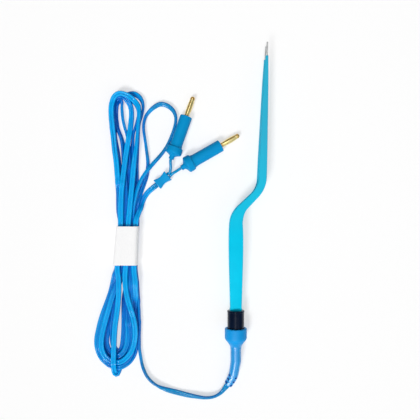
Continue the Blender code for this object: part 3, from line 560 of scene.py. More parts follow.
@dataclass(frozen=True)
class Moulding:
    """Moulded or extruded plastic: slight colour variation, soft waviness and fine grain."""

    name: str
    colour: Colour
    deep: Colour
    roughness: float
    specular: float = 0.35
    grain: float = 0.012 * MM
    grain_scale: float = 2600.0
    wave: float = 0.02 * MM
    wave_scale: float = 260.0
    cloud_scale: float = 90.0
    contrast: tuple[float, float] = (0.3, 0.7)
    roughness_range: float = 0.08

    def material(self) -> bpy.types.Material:
        """Builds the material.

        Returns:
            The material.
        """
        graph = Graph(self.name)
        where = graph.place()
        cloud = graph.noise(where, self.cloud_scale, 3.0)
        fine = graph.noise(where, self.grain_scale, 2.0)
        slow = graph.noise(where, self.wave_scale, 1.0)
        depth = self.grain + self.wave
        height = fine * (self.grain / depth) + slow * (self.wave / depth)
        graph.shade(
            Base_Color=graph.mix(graph.spread(cloud, *self.contrast), self.deep, self.colour),
            Roughness=self.roughness + self.roughness_range * (fine - 0.5),
            Normal=graph.bump(height, depth),
            Specular_IOR_Level=self.specular,
        )
        return graph.material


@dataclass(frozen=True)
class Insulation(Moulding):
    """Coat of the tines, with painted shade: its colour is drawn along Y to a duller, darker one over the
    shaft and the bends.
    """

    # Painted shade of the shaft and bends, and the places along Y where the colour turns to it
    shaft_painted_shade: Colour = (0.030, 0.45, 0.66)
    shaft_shade_from: float = -0.015
    shaft_shade_to: float = 0.06

    def material(self) -> bpy.types.Material:
        """Builds the material: the moulding's, with its colour drawn along Y to the painted shade colour.

        Returns:
            The material.
        """
        material = super().material()
        graph = Graph.of(material)
        share = graph.spread(graph.along(), self.shaft_shade_from, self.shaft_shade_to)
        graph.shade(Base_Color=graph.mix(share, graph.fed("Base Color"), self.shaft_painted_shade))
        return material


@dataclass(frozen=True)
class Sheath(Moulding):
    """Blue moulding with painted shade: deeper in colour where other strands or a slot would shade it, and
    duller where a strand lies alone, for the light it does not get back from neighbours.
    """

    # Painted shade colours: under cover, and for a strand that lies alone
    painted_shade_colour: Colour = (0.0, 0.12, 0.54)
    lone: Colour = (0.0, 0.17, 0.34)

    def material(self) -> bpy.types.Material:
        """Builds the material: the moulding's, with its colour drawn by the two painted shade attributes to
        the two painted shade colours.

        Returns:
            The material.
        """
        material = super().material()
        graph = Graph.of(material)
        colour = graph.fed("Base Color")
        for name, deeper in ((LONE_PAINTED_SHADE, self.lone), (PAINTED_SHADE, self.painted_shade_colour)):
            share = graph.node("ShaderNodeAttribute", {"attribute_name": name}, {}, "Fac")
            colour = graph.mix(share, colour, deeper)
        graph.shade(Base_Color=colour)
        return material


@dataclass(frozen=True)
class PolishedBoot(Sheath):
    """Boot that is satin on its cup and polished by handling on its stem."""

    stem_roughness: float = 0.3
    stem_coat: float = 0.7
    coat_roughness: float = 0.34
    coat_ior: float = 1.8
    stem_from: float = -0.0955
    stem_to: float = -0.0985

    def material(self) -> bpy.types.Material:
        """Builds the material: the sheath's, with its roughness falling along Y to the stem's.

        Returns:
            The material.
        """
        material = super().material()
        graph = Graph.of(material)
        share = graph.spread(graph.along(), self.stem_from, self.stem_to)
        drop = self.roughness - self.stem_roughness
        graph.shade(
            Roughness=graph.fed("Roughness") - drop * share,
            Coat_Weight=self.stem_coat * share,
            Coat_Roughness=self.coat_roughness,
            Coat_IOR=self.coat_ior,
        )
        return material


@dataclass(frozen=True)
class BrushedSteel:
    """Satin steel, brushed along the tine."""

    name: str = "brushed steel"
    dark: Colour = (0.56, 0.57, 0.57)
    light: Colour = (0.74, 0.76, 0.76)
    stretch: float = 0.04
    streak_scale: float = 6500.0
    streak_depth: float = 0.01 * MM
    streak_strength: float = 0.6
    contrast: tuple[float, float] = (0.3, 0.7)
    cloud_scale: float = 700.0
    roughness: float = 0.24
    streak_roughness: float = 0.16
    cloud_roughness: float = 0.06

    def material(self) -> bpy.types.Material:
        """Builds the material.

        Returns:
            The material.
        """
        graph = Graph(self.name)
        streak = graph.noise(graph.place((1.0, self.stretch, 1.0)), self.streak_scale, 2.0)
        cloud = graph.noise(graph.place(), self.cloud_scale, 2.0)
        graph.shade(
            Base_Color=graph.mix(graph.spread(streak, *self.contrast), self.dark, self.light),
            Roughness=(
                self.roughness + self.streak_roughness * streak + self.cloud_roughness * (cloud - 0.5)
            ),
            Metallic=1.0,
            Normal=graph.bump(streak, self.streak_depth, self.streak_strength),
        )
        return graph.material


@dataclass(frozen=True)
class Gilt:
    """Thin gold plate over turned brass, a little worn."""

    name: str = "gilt"
    bright: Colour = (0.98, 0.83, 0.40)
    worn: Colour = (0.94, 0.75, 0.30)
    polish: float = 0.27
    contrast: tuple[float, float] = (0.35, 0.7)
    wear_scale: float = 420.0
    wear_roughness: float = 0.12
    fine_scale: float = 3200.0
    fine_roughness: float = 0.05

    def material(self) -> bpy.types.Material:
        """Builds the material.

        Returns:
            The material.
        """
        graph = Graph(self.name)
        where = graph.place()
        cloud = graph.noise(where, self.wear_scale, 3.0, 0.6)
        fine = graph.noise(where, self.fine_scale, 2.0)
        graph.shade(
            Base_Color=graph.mix(graph.spread(cloud, *self.contrast), self.bright, self.worn),
            Roughness=self.polish + self.wear_roughness * cloud + self.fine_roughness * (fine - 0.5),
            Metallic=1.0,
        )
        return graph.material


@dataclass(frozen=True)
class Paper:
    """Plain white paper band with a faint fibre."""

    name: str = "paper"
    light: Colour = (0.97, 0.97, 0.97)
    shade: Colour = (0.93, 0.93, 0.935)
    fibre_stretch: float = 0.25
    fibre_turn: float = 0.4
    fibre_scale: float = 1800.0
    fibre_share: float = 0.25
    sag_scale: float = 110.0
    depth: float = 0.08 * MM
    contrast: tuple[float, float] = (0.35, 0.65)
    roughness: float = 0.72
    fibre_roughness: float = 0.15

    def material(self) -> bpy.types.Material:
        """Builds the material.

        Returns:
            The material.
        """
        graph = Graph(self.name)
        lie = graph.place((1.0, self.fibre_stretch, 1.0), self.fibre_turn)
        fibre = graph.noise(lie, self.fibre_scale, 4.0, 0.65)
        slow = graph.noise(graph.place(), self.sag_scale, 2.0)
        graph.shade(
            Base_Color=graph.mix(graph.spread(fibre, *self.contrast), self.shade, self.light),
            Roughness=self.roughness + self.fibre_roughness * fibre,
            Normal=graph.bump(fibre * self.fibre_share + slow * (1.0 - self.fibre_share), self.depth),
        )
        return graph.material


COAT_FINISH = Insulation("cyan insulation", (0.0, 0.60, 0.86), (0.0, 0.56, 0.82), 0.45, 0.04)
BLACK_FINISH = Moulding("black moulding", (0.0, 0.006, 0.024), (0.0, 0.004, 0.018), 0.2, 0.22)
BOOT_FINISH = PolishedBoot("blue boot", (0.0, 0.33, 0.79), (0.0, 0.30, 0.74), 0.5, 0.26)
PLUG_FINISH = Moulding("blue plug moulding", (0.001, 0.30, 0.64), (0.001, 0.27, 0.60), 0.5, 0.08)
SPLITTER_FINISH = Moulding("splitter moulding", (0.0, 0.33, 0.71), (0.0, 0.30, 0.67), 0.42, 0.12)
CORD_FINISH = Sheath("blue cord", (0.0, 0.46, 0.96), (0.0, 0.42, 0.90), 0.2, 0.26)
BLOCK_FINISH = Moulding("dark socket block", (0.03, 0.03, 0.035), (0.022, 0.022, 0.026), 0.5)
# The pin's gilt is darker than the spring's: painted shade for the pin, which lies in shade within its
# spring; the gilt's own cloud of wear stays
SHADED_PIN_FINISH = Gilt("worn gilt", (0.86, 0.58, 0.20), (0.70, 0.44, 0.14), 0.28)


def fit(
    piece: bpy.types.Object, material: bpy.types.Material, slot: Slot, body: Body, *nodes: str
) -> bpy.types.Object:
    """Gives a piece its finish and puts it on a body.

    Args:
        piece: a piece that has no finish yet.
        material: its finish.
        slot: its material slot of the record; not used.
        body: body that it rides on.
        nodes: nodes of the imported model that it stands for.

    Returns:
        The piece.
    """
    piece.data.materials.append(material)
    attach(piece, body.value)
    if nodes:
        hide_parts(*nodes)
    LOG.info("%s: %d faces on %s", piece.name, len(piece.data.polygons), body.value)
    return piece


@dataclass
class Studio:
    """Camera straight above the forceps, plain pale floor and soft light."""

    height: float = 400.0 * MM
    middle: tuple[float, float] = (-19.6 * MM, 76.1 * MM)
    view_width: float = 319.2 * MM
    view_level: float = 8.0 * MM
    sensor: float = 36.0
    floor_half: float = 3.0
    floor_glow: float = 0.5
    sky: float = 0.18
    suns: tuple[tuple[str, float, float, float, float], ...] = (
        ("key", 1.95, 38.0, -28.0, 16.0), ("fill", 0.32, 44.0, 38.0, 40.0),
    )
    box_power: float = 1.7
    box_height: float = 0.75
    box_size: tuple[float, float] = (0.16, 0.9)

    def camera(self) -> None:
        """Makes the camera: the lens shows the view's width at the level of the tines' tops."""
        data = bpy.data.cameras.new("camera")
        data.sensor_width = self.sensor
        data.lens = self.sensor * (self.height - self.view_level) / self.view_width
        data.clip_start = 0.01
        camera = link("camera", data)
        camera.location = origin() + np.array((*self.middle, self.height))
        bpy.context.scene.camera = camera

    def floor(self) -> None:
        """Makes the pale floor."""
        half = self.floor_half
        mesh = bpy.data.meshes.new("floor")
        corners = [(-half, -half, 0.0), (half, -half, 0.0), (half, half, 0.0), (-half, half, 0.0)]
        mesh.from_pydata(corners, [], [(0, 1, 2, 3)])
        graph = Graph("pale floor")
        share = 1.0 - self.floor_glow
        graph.shade(
            Base_Color=(share, share, share), Roughness=0.9, Specular_IOR_Level=0.0,
            Emission_Color=(1.0, 1.0, 1.0), Emission_Strength=self.floor_glow,
        )
        mesh.materials.append(graph.material)
        link("floor", mesh)

    def light(self) -> None:
        """Makes the sky, which the camera sees as white, and two broad suns.

        A sun's row is its name, power, tilt and turn in degrees, and spread in degrees.
        """
        world = bpy.data.worlds.new("studio")
        world.use_nodes = True
        bpy.context.scene.world = world
        nodes, links = world.node_tree.nodes, world.node_tree.links
        path = nodes.new("ShaderNodeLightPath")
        seen = nodes.new("ShaderNodeMath")
        seen.operation = "MAXIMUM"
        links.new(path.outputs["Is Camera Ray"], seen.inputs[0])
        links.new(path.outputs["Is Transmission Ray"], seen.inputs[1])
        strength = nodes.new("ShaderNodeMapRange")
        strength.inputs["To Min"].default_value = self.sky
        strength.inputs["To Max"].default_value = 1.0
        links.new(seen.outputs[0], strength.inputs["Value"])
        back = nodes["Background"]
        back.inputs["Color"].default_value = (1.0, 1.0, 1.0, 1.0)
        links.new(strength.outputs[0], back.inputs["Strength"])
        for name, power, tilt, turn, spread in self.suns:
            data = bpy.data.lights.new(name, "SUN")
            data.energy = power
            data.angle = math.radians(spread)
            link(name, data).rotation_euler = (math.radians(tilt), 0.0, math.radians(turn))

    def softbox(self) -> None:
        """Makes the narrow box light over the forceps, whose mirror image runs along round parts."""
        data = bpy.data.lights.new("softbox", "AREA")
        data.shape = "RECTANGLE"
        data.size, data.size_y = self.box_size
        data.energy = self.box_power
        link("softbox", data).location = origin() + np.array((0.0, self.middle[1], self.box_height))

    def build(self) -> None:
        """Makes the whole studio."""
        bpy.context.scene.view_settings.view_transform = "Standard"
        self.camera()
        self.floor()
        self.light()
        self.softbox()


@dataclass
class Connector:
    """Blue boot on the back of the ferrule, with a slotted strain relief, and what is inside it."""

    axis_height: float = 8.35 * MM
    cup_front: float = -13.5 * MM
    cup_radius: float = 8.35 * MM
    cup_bore: float = 6.6 * MM
    cup_length: float = 8.0 * MM
    cup_edge: float = 0.7 * MM
    cup_floor: float = -22.3 * MM
    cone_length: float = 4.6 * MM
    stem_radius: float = 4.05 * MM
    stem_length: float = 12.4 * MM
    bend_radius: float = 30.0 * MM
    turn: float = math.radians(38.0)
    droop: float = math.radians(25.0)
    mid_radius: float = 3.75 * MM
    end_radius: float = 3.25 * MM
    notch_pairs: int = 3
    notch_pitch: float = 3.35 * MM
    notch_from_end: float = 1.8 * MM
    notch_width: float = 1.9 * MM
    notch_web: float = 1.45 * MM
    notch_half_height: float = 3.05 * MM
    notch_rib: float = 0.5 * MM
    notch_roll: float = math.radians(6.0)
    # Share of painted shade in the relief's slots
    notch_painted_shade: float = 0.9
    notch_edge: float = 0.15 * MM
    ledge: float = 0.18 * MM
    probe: float = 0.01 * MM
    steps: int = 72

    @property
    def relief_front(self) -> float:
        """Where the strain relief starts, along the axis."""
        return self.cup_front - self.cup_length - self.cone_length - self.stem_length

    @property
    def relief_length(self) -> float:
        """Length of the strain relief."""
        return self.bend_radius * self.turn

    def relief_line(self, along: Array) -> Array:
        """Centreline of the relief: an arc in the plane that droops towards the table.

        Args:
            along: distances from the relief's start; past its end it goes straight on.

        Returns:
            World points.
        """
        angle = np.clip(along, 0.0, self.relief_length) / self.bend_radius
        past = np.maximum(np.asarray(along) - self.relief_length, 0.0)[:, None]
        out = np.array((-math.cos(self.droop), 0.0, -math.sin(self.droop)))
        back = np.array((0.0, -1.0, 0.0))
        start = origin() + np.array((0.0, self.relief_front, self.axis_height))
        curve = back * np.sin(angle)[:, None] + out * (1.0 - np.cos(angle))[:, None]
        onward = back * np.cos(angle)[:, None] + out * np.sin(angle)[:, None]
        return start + self.bend_radius * curve + onward * past

    def exit(self) -> tuple[Array, Array]:
        """Point and direction in which the cord leaves the relief."""
        near, far = self.relief_line(np.array((self.relief_length, self.relief_length + MM)))
        return near, unit(far - near)

    def radius_at(self, along: Array) -> Array:
        """Radius of the relief, which narrows to its end.

        Args:
            along: distances from the relief's start.

        Returns:
            The radius at each.
        """
        rows = (
            (0.0, self.stem_radius), (self.relief_length / 2.0, self.mid_radius),
            (self.relief_length, self.end_radius),
        )
        return monotone(rows, along)

    def relief_rings(self) -> tuple[Array, Array]:
        """Rings of the relief, cut in at its side slots.

        A ring is a circle; where a slot is, its points nearer to the middle height than the
        slot's half height are drawn in to the web, but for a thin rib at the middle height.

        Returns:
            The rings, and for each point whether it lies in a slot.
        """
        marks = [0.0]
        cut = [False]
        for k in range(self.notch_pairs)[::-1]:
            middle = self.relief_length - self.notch_from_end - k * self.notch_pitch
            low, high = middle - self.notch_width / 2.0, middle + self.notch_width / 2.0
            marks += [low - self.notch_edge, low, low, high, high, high + self.notch_edge]
            cut += [False, False, True, True, False, False]
        marks += [self.relief_length - self.cup_edge / 2.0, self.relief_length]
        cut += [False, False]
        along = np.array(marks)
        radius = self.radius_at(along)
        radius[-1] -= self.cup_edge / 2.0
        angles = circle(self.steps)
        outline = radius[:, None, None] * np.column_stack((np.cos(angles), np.sin(angles)))
        rolled = rotated(outline, self.notch_roll)
        across, height = rolled[..., 0], np.abs(rolled[..., 1])
        inside = np.array(cut)[:, None] & (height < self.notch_half_height) & (height > self.notch_rib)
        drawn = np.sign(across) * np.minimum(np.abs(across), self.notch_web)
        rolled[..., 0] = np.where(inside, drawn, across)
        outline = rotated(rolled, -self.notch_roll)
        line = self.relief_line(along)
        side, above = crosswise(unit(self.relief_line(along + self.probe) - line))
        rings = line[:, None] + outline[..., :1] * side[:, None] + outline[..., 1:] * above[:, None]
        return rings, inside

    def boot(self) -> bpy.types.Object:
        """Builds the boot: a turned cup, cone and stem that runs on into the relief.

        The turned rings are mirrored, so that they run round the same way as the relief's.

        Returns:
            The boot, without its finish.
        """
        front, edge = self.cup_front, self.cup_edge
        cone_front = front - self.cup_length
        stem_front = cone_front - self.cone_length
        profile = rounded((
            (self.cup_floor, self.cup_bore, 0.0),
            (front - 0.3 * edge, self.cup_bore, 0.0),
            (front, self.cup_bore + 0.3 * edge, 0.0),
            (front, self.cup_radius, edge),
            (cone_front, self.cup_radius, 1.6 * edge),
            (stem_front + 0.6 * MM, self.stem_radius + 1.2 * MM, 1.0 * MM),
            (stem_front - 1.6 * MM, self.stem_radius + self.ledge, 0.8 * MM),
            (stem_front - 3.2 * MM, self.stem_radius + self.ledge, 0.12 * MM),
            (stem_front - 3.5 * MM, self.stem_radius, 0.1 * MM),
            (self.relief_front + 0.4 * MM, self.stem_radius, 0.0),
        ), steps=6)
        rings = turned(profile, self.steps)
        rings[..., 0] *= -1.0
        rings = rings + origin() + np.array((0.0, 0.0, self.axis_height))
        relief, inside = self.relief_rings()
        boot = skin("boot", np.vstack((rings, relief)), sharp=32.0)
        # Painted shade: points in the relief's slots get a dark share of colour, standing in for the shade
        # in the recesses
        shares = np.vstack((np.zeros(rings.shape[:2]), self.notch_painted_shade * inside))
        share_points(boot, PAINTED_SHADE, shares)
        return boot

    def build(self) -> None:
        """Builds and dresses the connector."""
        fit(self.boot(), BOOT_FINISH.material(), Slot.BOOT, Body.CORD_SET, "connector_boot")
        dress_node("connector_core", BLOCK_FINISH.material())


def dress_node(name: str, material: bpy.types.Material) -> None:
    """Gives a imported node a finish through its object's material slots.

    Args:
        name: the node.
        material: its finish.
    """
    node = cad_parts[name]
    if not node.material_slots:
        node.data.materials.append(material)
    for holder in node.material_slots:
        holder.link = "OBJECT"
        holder.material = material


# The thirteen passes through the paper band: place across it from its middle, and height, in
# millimetres
PASSES = {
    "low_left": (-5.9, 1.35), "low_mid_left": (-1.9, 1.35), "low_mid_right": (2.1, 1.35),
    "low_right": (5.9, 1.35), "second_left": (-4.9, 3.5), "second_mid": (0.3, 3.5),
    "second_right": (5.2, 3.5), "third_left": (-5.6, 5.65), "third_mid": (-1.6, 5.65),
    "third_right": (3.4, 5.65), "top_left": (-5.3, 7.8), "top_mid": (0.5, 7.8),
    "top_right": (6.1, 7.8),
}

# Loops of the hank above the band, by the two passes that each joins: x, y and z in millimetres,
# and roll in degrees
UPPER_LOOPS = {
    ("top_mid", "third_left"): (
        (-81.0, 74.6, 7.8, 0), (-80.2, 83.7, 7.6, 0), (-79.3, 93.6, 7.2, 0), (-78.4, 104.3, 6.7, 0),
        (-77.5, 114.3, 6.2, 20), (-76.0, 124.2, 5.8, 50), (-74.9, 134.2, 5.5, 60), (-74.2, 142.8, 5.3, 60),
        (-73.7, 150.0, 5.2, 50), (-74.4, 155.4, 5, 25), (-77.3, 159.4, 5, 5), (-80.4, 162.1, 5.5, 0),
        (-84.2, 164.2, 6.9, 0), (-87.8, 164.9, 7.4, 0), (-91.0, 163.7, 6.8, 0), (-93.4, 160.5, 5.8, 0),
        (-94.6, 155.6, 5.9, 0), (-94.8, 148.5, 5.9, 0), (-94.1, 141.3, 5.9, 10), (-93.4, 131.9, 6, 35),
        (-92.3, 121.9, 6.1, 30), (-91.1, 112.7, 6.2, 10), (-90.2, 100.5, 6.1, 0), (-89.2, 87.6, 6, 0),
        (-88.9, 74.6, 5.9, 0),
    ),
    ("low_right", "third_mid"): (
        (-76.6, 76.1, 1.35, 0), (-76.9, 85.4, 1.4, 0), (-77.0, 95.4, 1.5, 0), (-76.8, 107.0, 1.8, 20),
        (-75.9, 120.8, 2.1, 50), (-75.1, 132.4, 2.2, 70), (-74.3, 141.9, 2.2, 80), (-72.6, 147.7, 2.2, 80),
        (-71.3, 153.5, 2.2, 80), (-71.4, 157.9, 2.2, 70), (-73.0, 161.9, 2.1, 50), (-76.1, 164.8, 1.8, 20),
        (-79.6, 165.9, 1.6, 5), (-84.2, 164.7, 1.5, 0), (-89.2, 162.2, 1.5, 0), (-92.4, 157.2, 1.7, 20),
        (-93.4, 150.8, 2, 45), (-91.6, 141.2, 2.2, 65), (-88.0, 131.6, 2.2, 65), (-86.5, 124.7, 2.1, 45),
        (-86.0, 117.7, 2.2, 30), (-85.2, 108.4, 2.8, 10), (-84.7, 96.8, 3.8, 0), (-84.2, 83.8, 5, 0),
        (-84.2, 73.8, 5.6, 0),
    ),
    ("second_mid", "low_left"): (
        (-82.2, 74.6, 3.6, 0), (-82.4, 87.6, 3.4, 0), (-82.5, 100.7, 3.2, 0), (-82.4, 114.6, 2.8, 20),
        (-82.6, 126.2, 2.4, 60), (-83.9, 134.7, 2.3, 85), (-85.4, 139.8, 2.3, 90), (-86.8, 146.2, 2.3, 90),
        (-87.5, 153.4, 2.3, 90), (-87.7, 158.6, 2.4, 70), (-89.3, 162.7, 2.6, 40), (-91.9, 162.6, 2.6, 30),
        (-93.9, 159.0, 2.4, 40), (-94.5, 152.7, 2.3, 60), (-94.2, 143.4, 2.3, 80), (-93.5, 132.4, 2.3, 80),
        (-92.4, 122.4, 2.2, 60), (-91.4, 112.4, 1.8, 30), (-90.2, 99.3, 1.4, 0), (-89.6, 85.4, 1.35, 0),
        (-89.6, 74.6, 1.35, 0),
    ),
    ("top_left", "second_left"): (
        (-87.6, 74.6, 7.8, 0), (-87.4, 83.7, 7.6, 0), (-86.9, 92.8, 7.3, 0), (-85.9, 102.0, 6.9, 0),
        (-84.7, 112.7, 6.5, 0), (-82.9, 125.0, 6, 0), (-81.3, 135.1, 5, 0), (-80.4, 143.0, 4.2, 5),
        (-80.1, 149.6, 3.4, 20), (-80.7, 155.4, 3.4, 20), (-83.3, 160.5, 5.0, 5), (-86.8, 163.4, 5.5, 0),
        (-90.6, 163.2, 4.9, 0), (-93.5, 159.9, 4.0, 0), (-94.4, 153.8, 3.7, 10), (-94.6, 146.0, 3.8, 20),
        (-93.8, 135.2, 3.9, 35), (-92.6, 123.7, 3.9, 30), (-91.5, 113.0, 3.8, 10), (-90.3, 99.9, 3.7, 0),
        (-89.2, 85.3, 3.6, 0), (-88.6, 74.6, 3.55, 0),
    ),
    ("low_mid_right", "low_mid_left"): (
        (-80.2, 74.6, 1.35, 0), (-80.3, 87.7, 1.35, 0), (-80.5, 100.8, 1.4, 0), (-80.3, 114.7, 1.6, 20),
        (-79.4, 126.2, 2.1, 60), (-78.6, 134.7, 2.2, 80), (-76.5, 141.9, 2.2, 85), (-75.0, 148.3, 2.3, 80),
        (-75.2, 154.1, 2.5, 60), (-77.4, 158.9, 2.9, 25), (-81.5, 161.4, 3.4, 5), (-85.9, 163.3, 3.6, 0),
        (-90.1, 162.4, 2.6, 0), (-93.1, 158.4, 1.6, 20), (-94.1, 152.0, 2.1, 50), (-93.8, 141.9, 2.2, 70),
        (-92.7, 131.6, 2.2, 70), (-91.4, 121.6, 2, 50), (-90.0, 112.4, 1.6, 20), (-88.4, 100.8, 1.4, 0),
        (-86.9, 87.7, 1.35, 0), (-86.1, 74.6, 1.35, 0),
    ),
    ("third_right", "second_right"): (
        (-79.2, 72.0, 5.9, 10), (-78.2, 80.0, 6.1, 30), (-76.2, 88.0, 6.2, 50), (-74.2, 94.5, 6.2, 55),
        (-71.6, 100.3, 6.2, 55), (-68.7, 104.6, 6.1, 55), (-65.3, 109.2, 5.6, 55), (-62.4, 112.8, 4.6, 55),
        (-59.3, 116.4, 3.6, 60), (-55.5, 121.2, 2.6, 65), (-52.5, 126.0, 2.1, 70), (-50.0, 131.3, 2.1, 70),
        (-47.8, 137.3, 2.1, 75), (-46.4, 142.4, 2.1, 75), (-46.0, 147.5, 2.1, 75), (-47.5, 152.0, 2.0, 65),
        (-50.4, 155.2, 1.9, 55), (-54.3, 157.3, 1.8, 50), (-58.1, 157.7, 1.8, 50), (-62.0, 155.9, 2.0, 60),
        (-65.8, 152.7, 2.1, 75), (-68.8, 148.8, 2.15, 85), (-70.4, 144.1, 2.15, 90),
        (-70.8, 139.0, 2.15, 90), (-70.1, 133.0, 2.15, 90), (-69.2, 127.0, 2.15, 90),
        (-68.4, 121.0, 2.15, 85), (-67.7, 115.9, 2.1, 80), (-67.4, 110.7, 2.1, 75), (-67.9, 105.5, 2.0, 70),
        (-68.9, 100.9, 2.2, 65), (-70.6, 96.0, 2.7, 60), (-72.6, 90.6, 3.3, 55), (-74.6, 84.8, 3.5, 45),
        (-76.4, 78.0, 3.6, 25), (-77.4, 71.5, 3.6, 5),
    ),
}

# Loops of the hank below the band, in the same way
LOWER_LOOPS = {
    ("top_left", "top_right"): (
        (-89.3, 22.9, 7.7, 0), (-89.3, 11.4, 7.5, 0), (-90.5, -1.5, 7.4, 0), (-92.0, -12.2, 7.3, 0),
        (-92.8, -22.9, 7.2, 0), (-93.2, -33.6, 7.0, 0), (-93.3, -41.0, 6.4, 0), (-93.2, -46.0, 5.2, 10),
        (-92.6, -49.6, 3.8, 30), (-91.0, -50.6, 2.4, 45), (-89.8, -47.4, 1.5, 25), (-88.8, -42.0, 1.15, 0),
        (-86.0, -35.6, 1.15, 0), (-82.6, -29.0, 1.2, 0), (-80.4, -20.0, 1.2, 0), (-79.2, -10.0, 1.6, 0),
        (-78.2, -2.0, 2.6, 0), (-77.0, 6.0, 4.4, 0), (-76.6, 14.0, 6.2, 0), (-76.8, 23.0, 7.3, 0),
    ),
    ("top_mid", "third_mid"): (
        (-84.4, 25.1, 7.7, 0), (-83.8, 15.2, 7.4, 0), (-82.0, 6.8, 7.2, 0), (-79.4, -1.7, 6.9, 5),
        (-77.2, -11.0, 6.6, 10), (-76.9, -21.0, 6.3, 10), (-78.7, -29.5, 6.0, 5), (-82.7, -36.1, 5.6, 0),
        (-88.1, -40.1, 5.5, 0), (-94.4, -40.1, 5.0, 0), (-99.9, -36.6, 4.7, 0), (-102.9, -29.7, 4.6, 0),
        (-102.7, -20.5, 4.6, 0), (-100.2, -9.8, 4.6, 0), (-96.8, 1.8, 4.8, 0), (-93.4, 12.6, 5.1, 0),
        (-89.5, 23.3, 5.5, 0),
    ),
    ("third_left", "low_mid_right"): (
        (-92.3, 27.1, 5.5, 0), (-94.1, 19.5, 5.2, 0), (-96.3, 11.7, 4.7, 0), (-99.2, 3.6, 4.1, 0),
        (-102.2, -4.6, 3.5, 0), (-104.7, -13.2, 3.1, 0), (-106.4, -21.7, 2.8, 0), (-106.2, -29.5, 2.6, 0),
        (-103.7, -36.5, 2.7, 0), (-99.0, -42.0, 3.0, 0), (-92.7, -45.0, 3.4, 0), (-86.0, -43.8, 3.3, 0),
        (-80.6, -39.4, 2.6, 10), (-77.3, -32.5, 2.0, 30), (-76.4, -22.8, 1.9, 40), (-76.6, -10.4, 1.6, 25),
        (-77.6, 2.7, 1.3, 10), (-79.2, 14.3, 1.25, 0), (-81.0, 24.3, 1.3, 0),
    ),
    ("second_mid", "low_mid_left"): (
        (-83.7, 24.6, 3.5, 0), (-83.4, 14.6, 3.4, 0), (-83.1, 3.8, 3.4, 0), (-82.6, -7.0, 3.4, 10),
        (-82.4, -17.8, 3.4, 10), (-83.3, -26.5, 3.4, 10), (-86.4, -33.2, 3.4, 0), (-91.2, -36.4, 2.8, 0),
        (-96.1, -35.0, 2.0, 0), (-99.2, -29.4, 1.4, 0), (-99.5, -21.3, 1.2, 0), (-97.8, -10.5, 1.2, 0),
        (-95.2, 0.3, 1.2, 0), (-92.4, 11.2, 1.2, 0), (-88.9, 23.5, 1.25, 0),
    ),
    ("low_left", "third_right"): (
        (-92.6, 24.3, 1.3, 0), (-95.1, 15.0, 1.2, 0), (-98.3, 5.7, 1.2, 0), (-101.2, -3.5, 1.2, 0),
        (-103.6, -12.8, 1.2, 0), (-104.3, -22.1, 1.2, 0), (-102.9, -30.6, 1.3, 0), (-98.9, -37.0, 1.8, 0),
        (-93.0, -40.6, 2.8, 0), (-86.8, -39.4, 3.4, 0), (-82.0, -34.2, 3.6, 5), (-79.6, -26.9, 3.8, 10),
        (-79.2, -16.0, 4.2, 10), (-79.8, -3.6, 4.8, 5), (-80.2, 9.5, 5.2, 0), (-80.4, 22.6, 5.5, 0),
    ),
    ("second_left", "second_right"): (
        (-89.9, 23.1, 3.5, 0), (-91.2, 13.0, 3.4, 0), (-92.8, 3.0, 3.3, 0), (-94.3, -7.8, 3.1, 0),
        (-95.1, -17.8, 2.8, 0), (-94.7, -25.8, 2.6, 10), (-92.9, -31.4, 2.2, 20), (-89.9, -33.4, 2.0, 20),
        (-87.5, -30.0, 1.7, 10), (-86.4, -20.0, 1.5, 0), (-86.0, -8.0, 1.8, 0), (-85.9, 5.3, 2.6, 0),
        (-84.7, 14.6, 3.2, 0), (-81.6, 23.8, 3.5, 0),
    ),
}

# Routes from the boot to the hank and from the hank to the splitter, in the same way
RUN_ROUTE = (
    (-9.2, -62.6, 3.6, 40), (-12.4, -65.9, 2.5, 60), (-17.4, -68.2, 2.0, 65), (-23.5, -68.8, 2.0, 60),
    (-30.5, -67.9, 1.8, 45), (-37.4, -66.7, 1.5, 20), (-44.4, -65.0, 1.2, 5), (-50.6, -63.4, 1.4, 15),
    (-56.0, -61.5, 1.8, 45), (-60.6, -59.3, 2.1, 70), (-64.9, -56.1, 2.15, 80), (-68.2, -52.2, 2.15, 85),
    (-70.3, -48.0, 2.15, 90), (-71.9, -43.3, 2.15, 90), (-73.0, -37.5, 2.15, 90), (-74.0, -30.6, 2.2, 90),
    (-74.5, -20.0, 2.3, 90), (-74.7, -8.0, 2.3, 85), (-75.0, 3.0, 2.2, 75), (-75.8, 18.0, 2.0, 45),
)
TAIL_ROUTE = (
    (-75.8, 69.0, 7.3, 10), (-74.4, 73.5, 5.9, 20), (-72.9, 78.0, 3.8, 25), (-71.8, 82.6, 2.0, 10),
    (-70.0, 86.6, 1.2, 0), (-67.2, 90.2, 1.3, 0), (-64.1, 92.8, 2.1, 0),
)


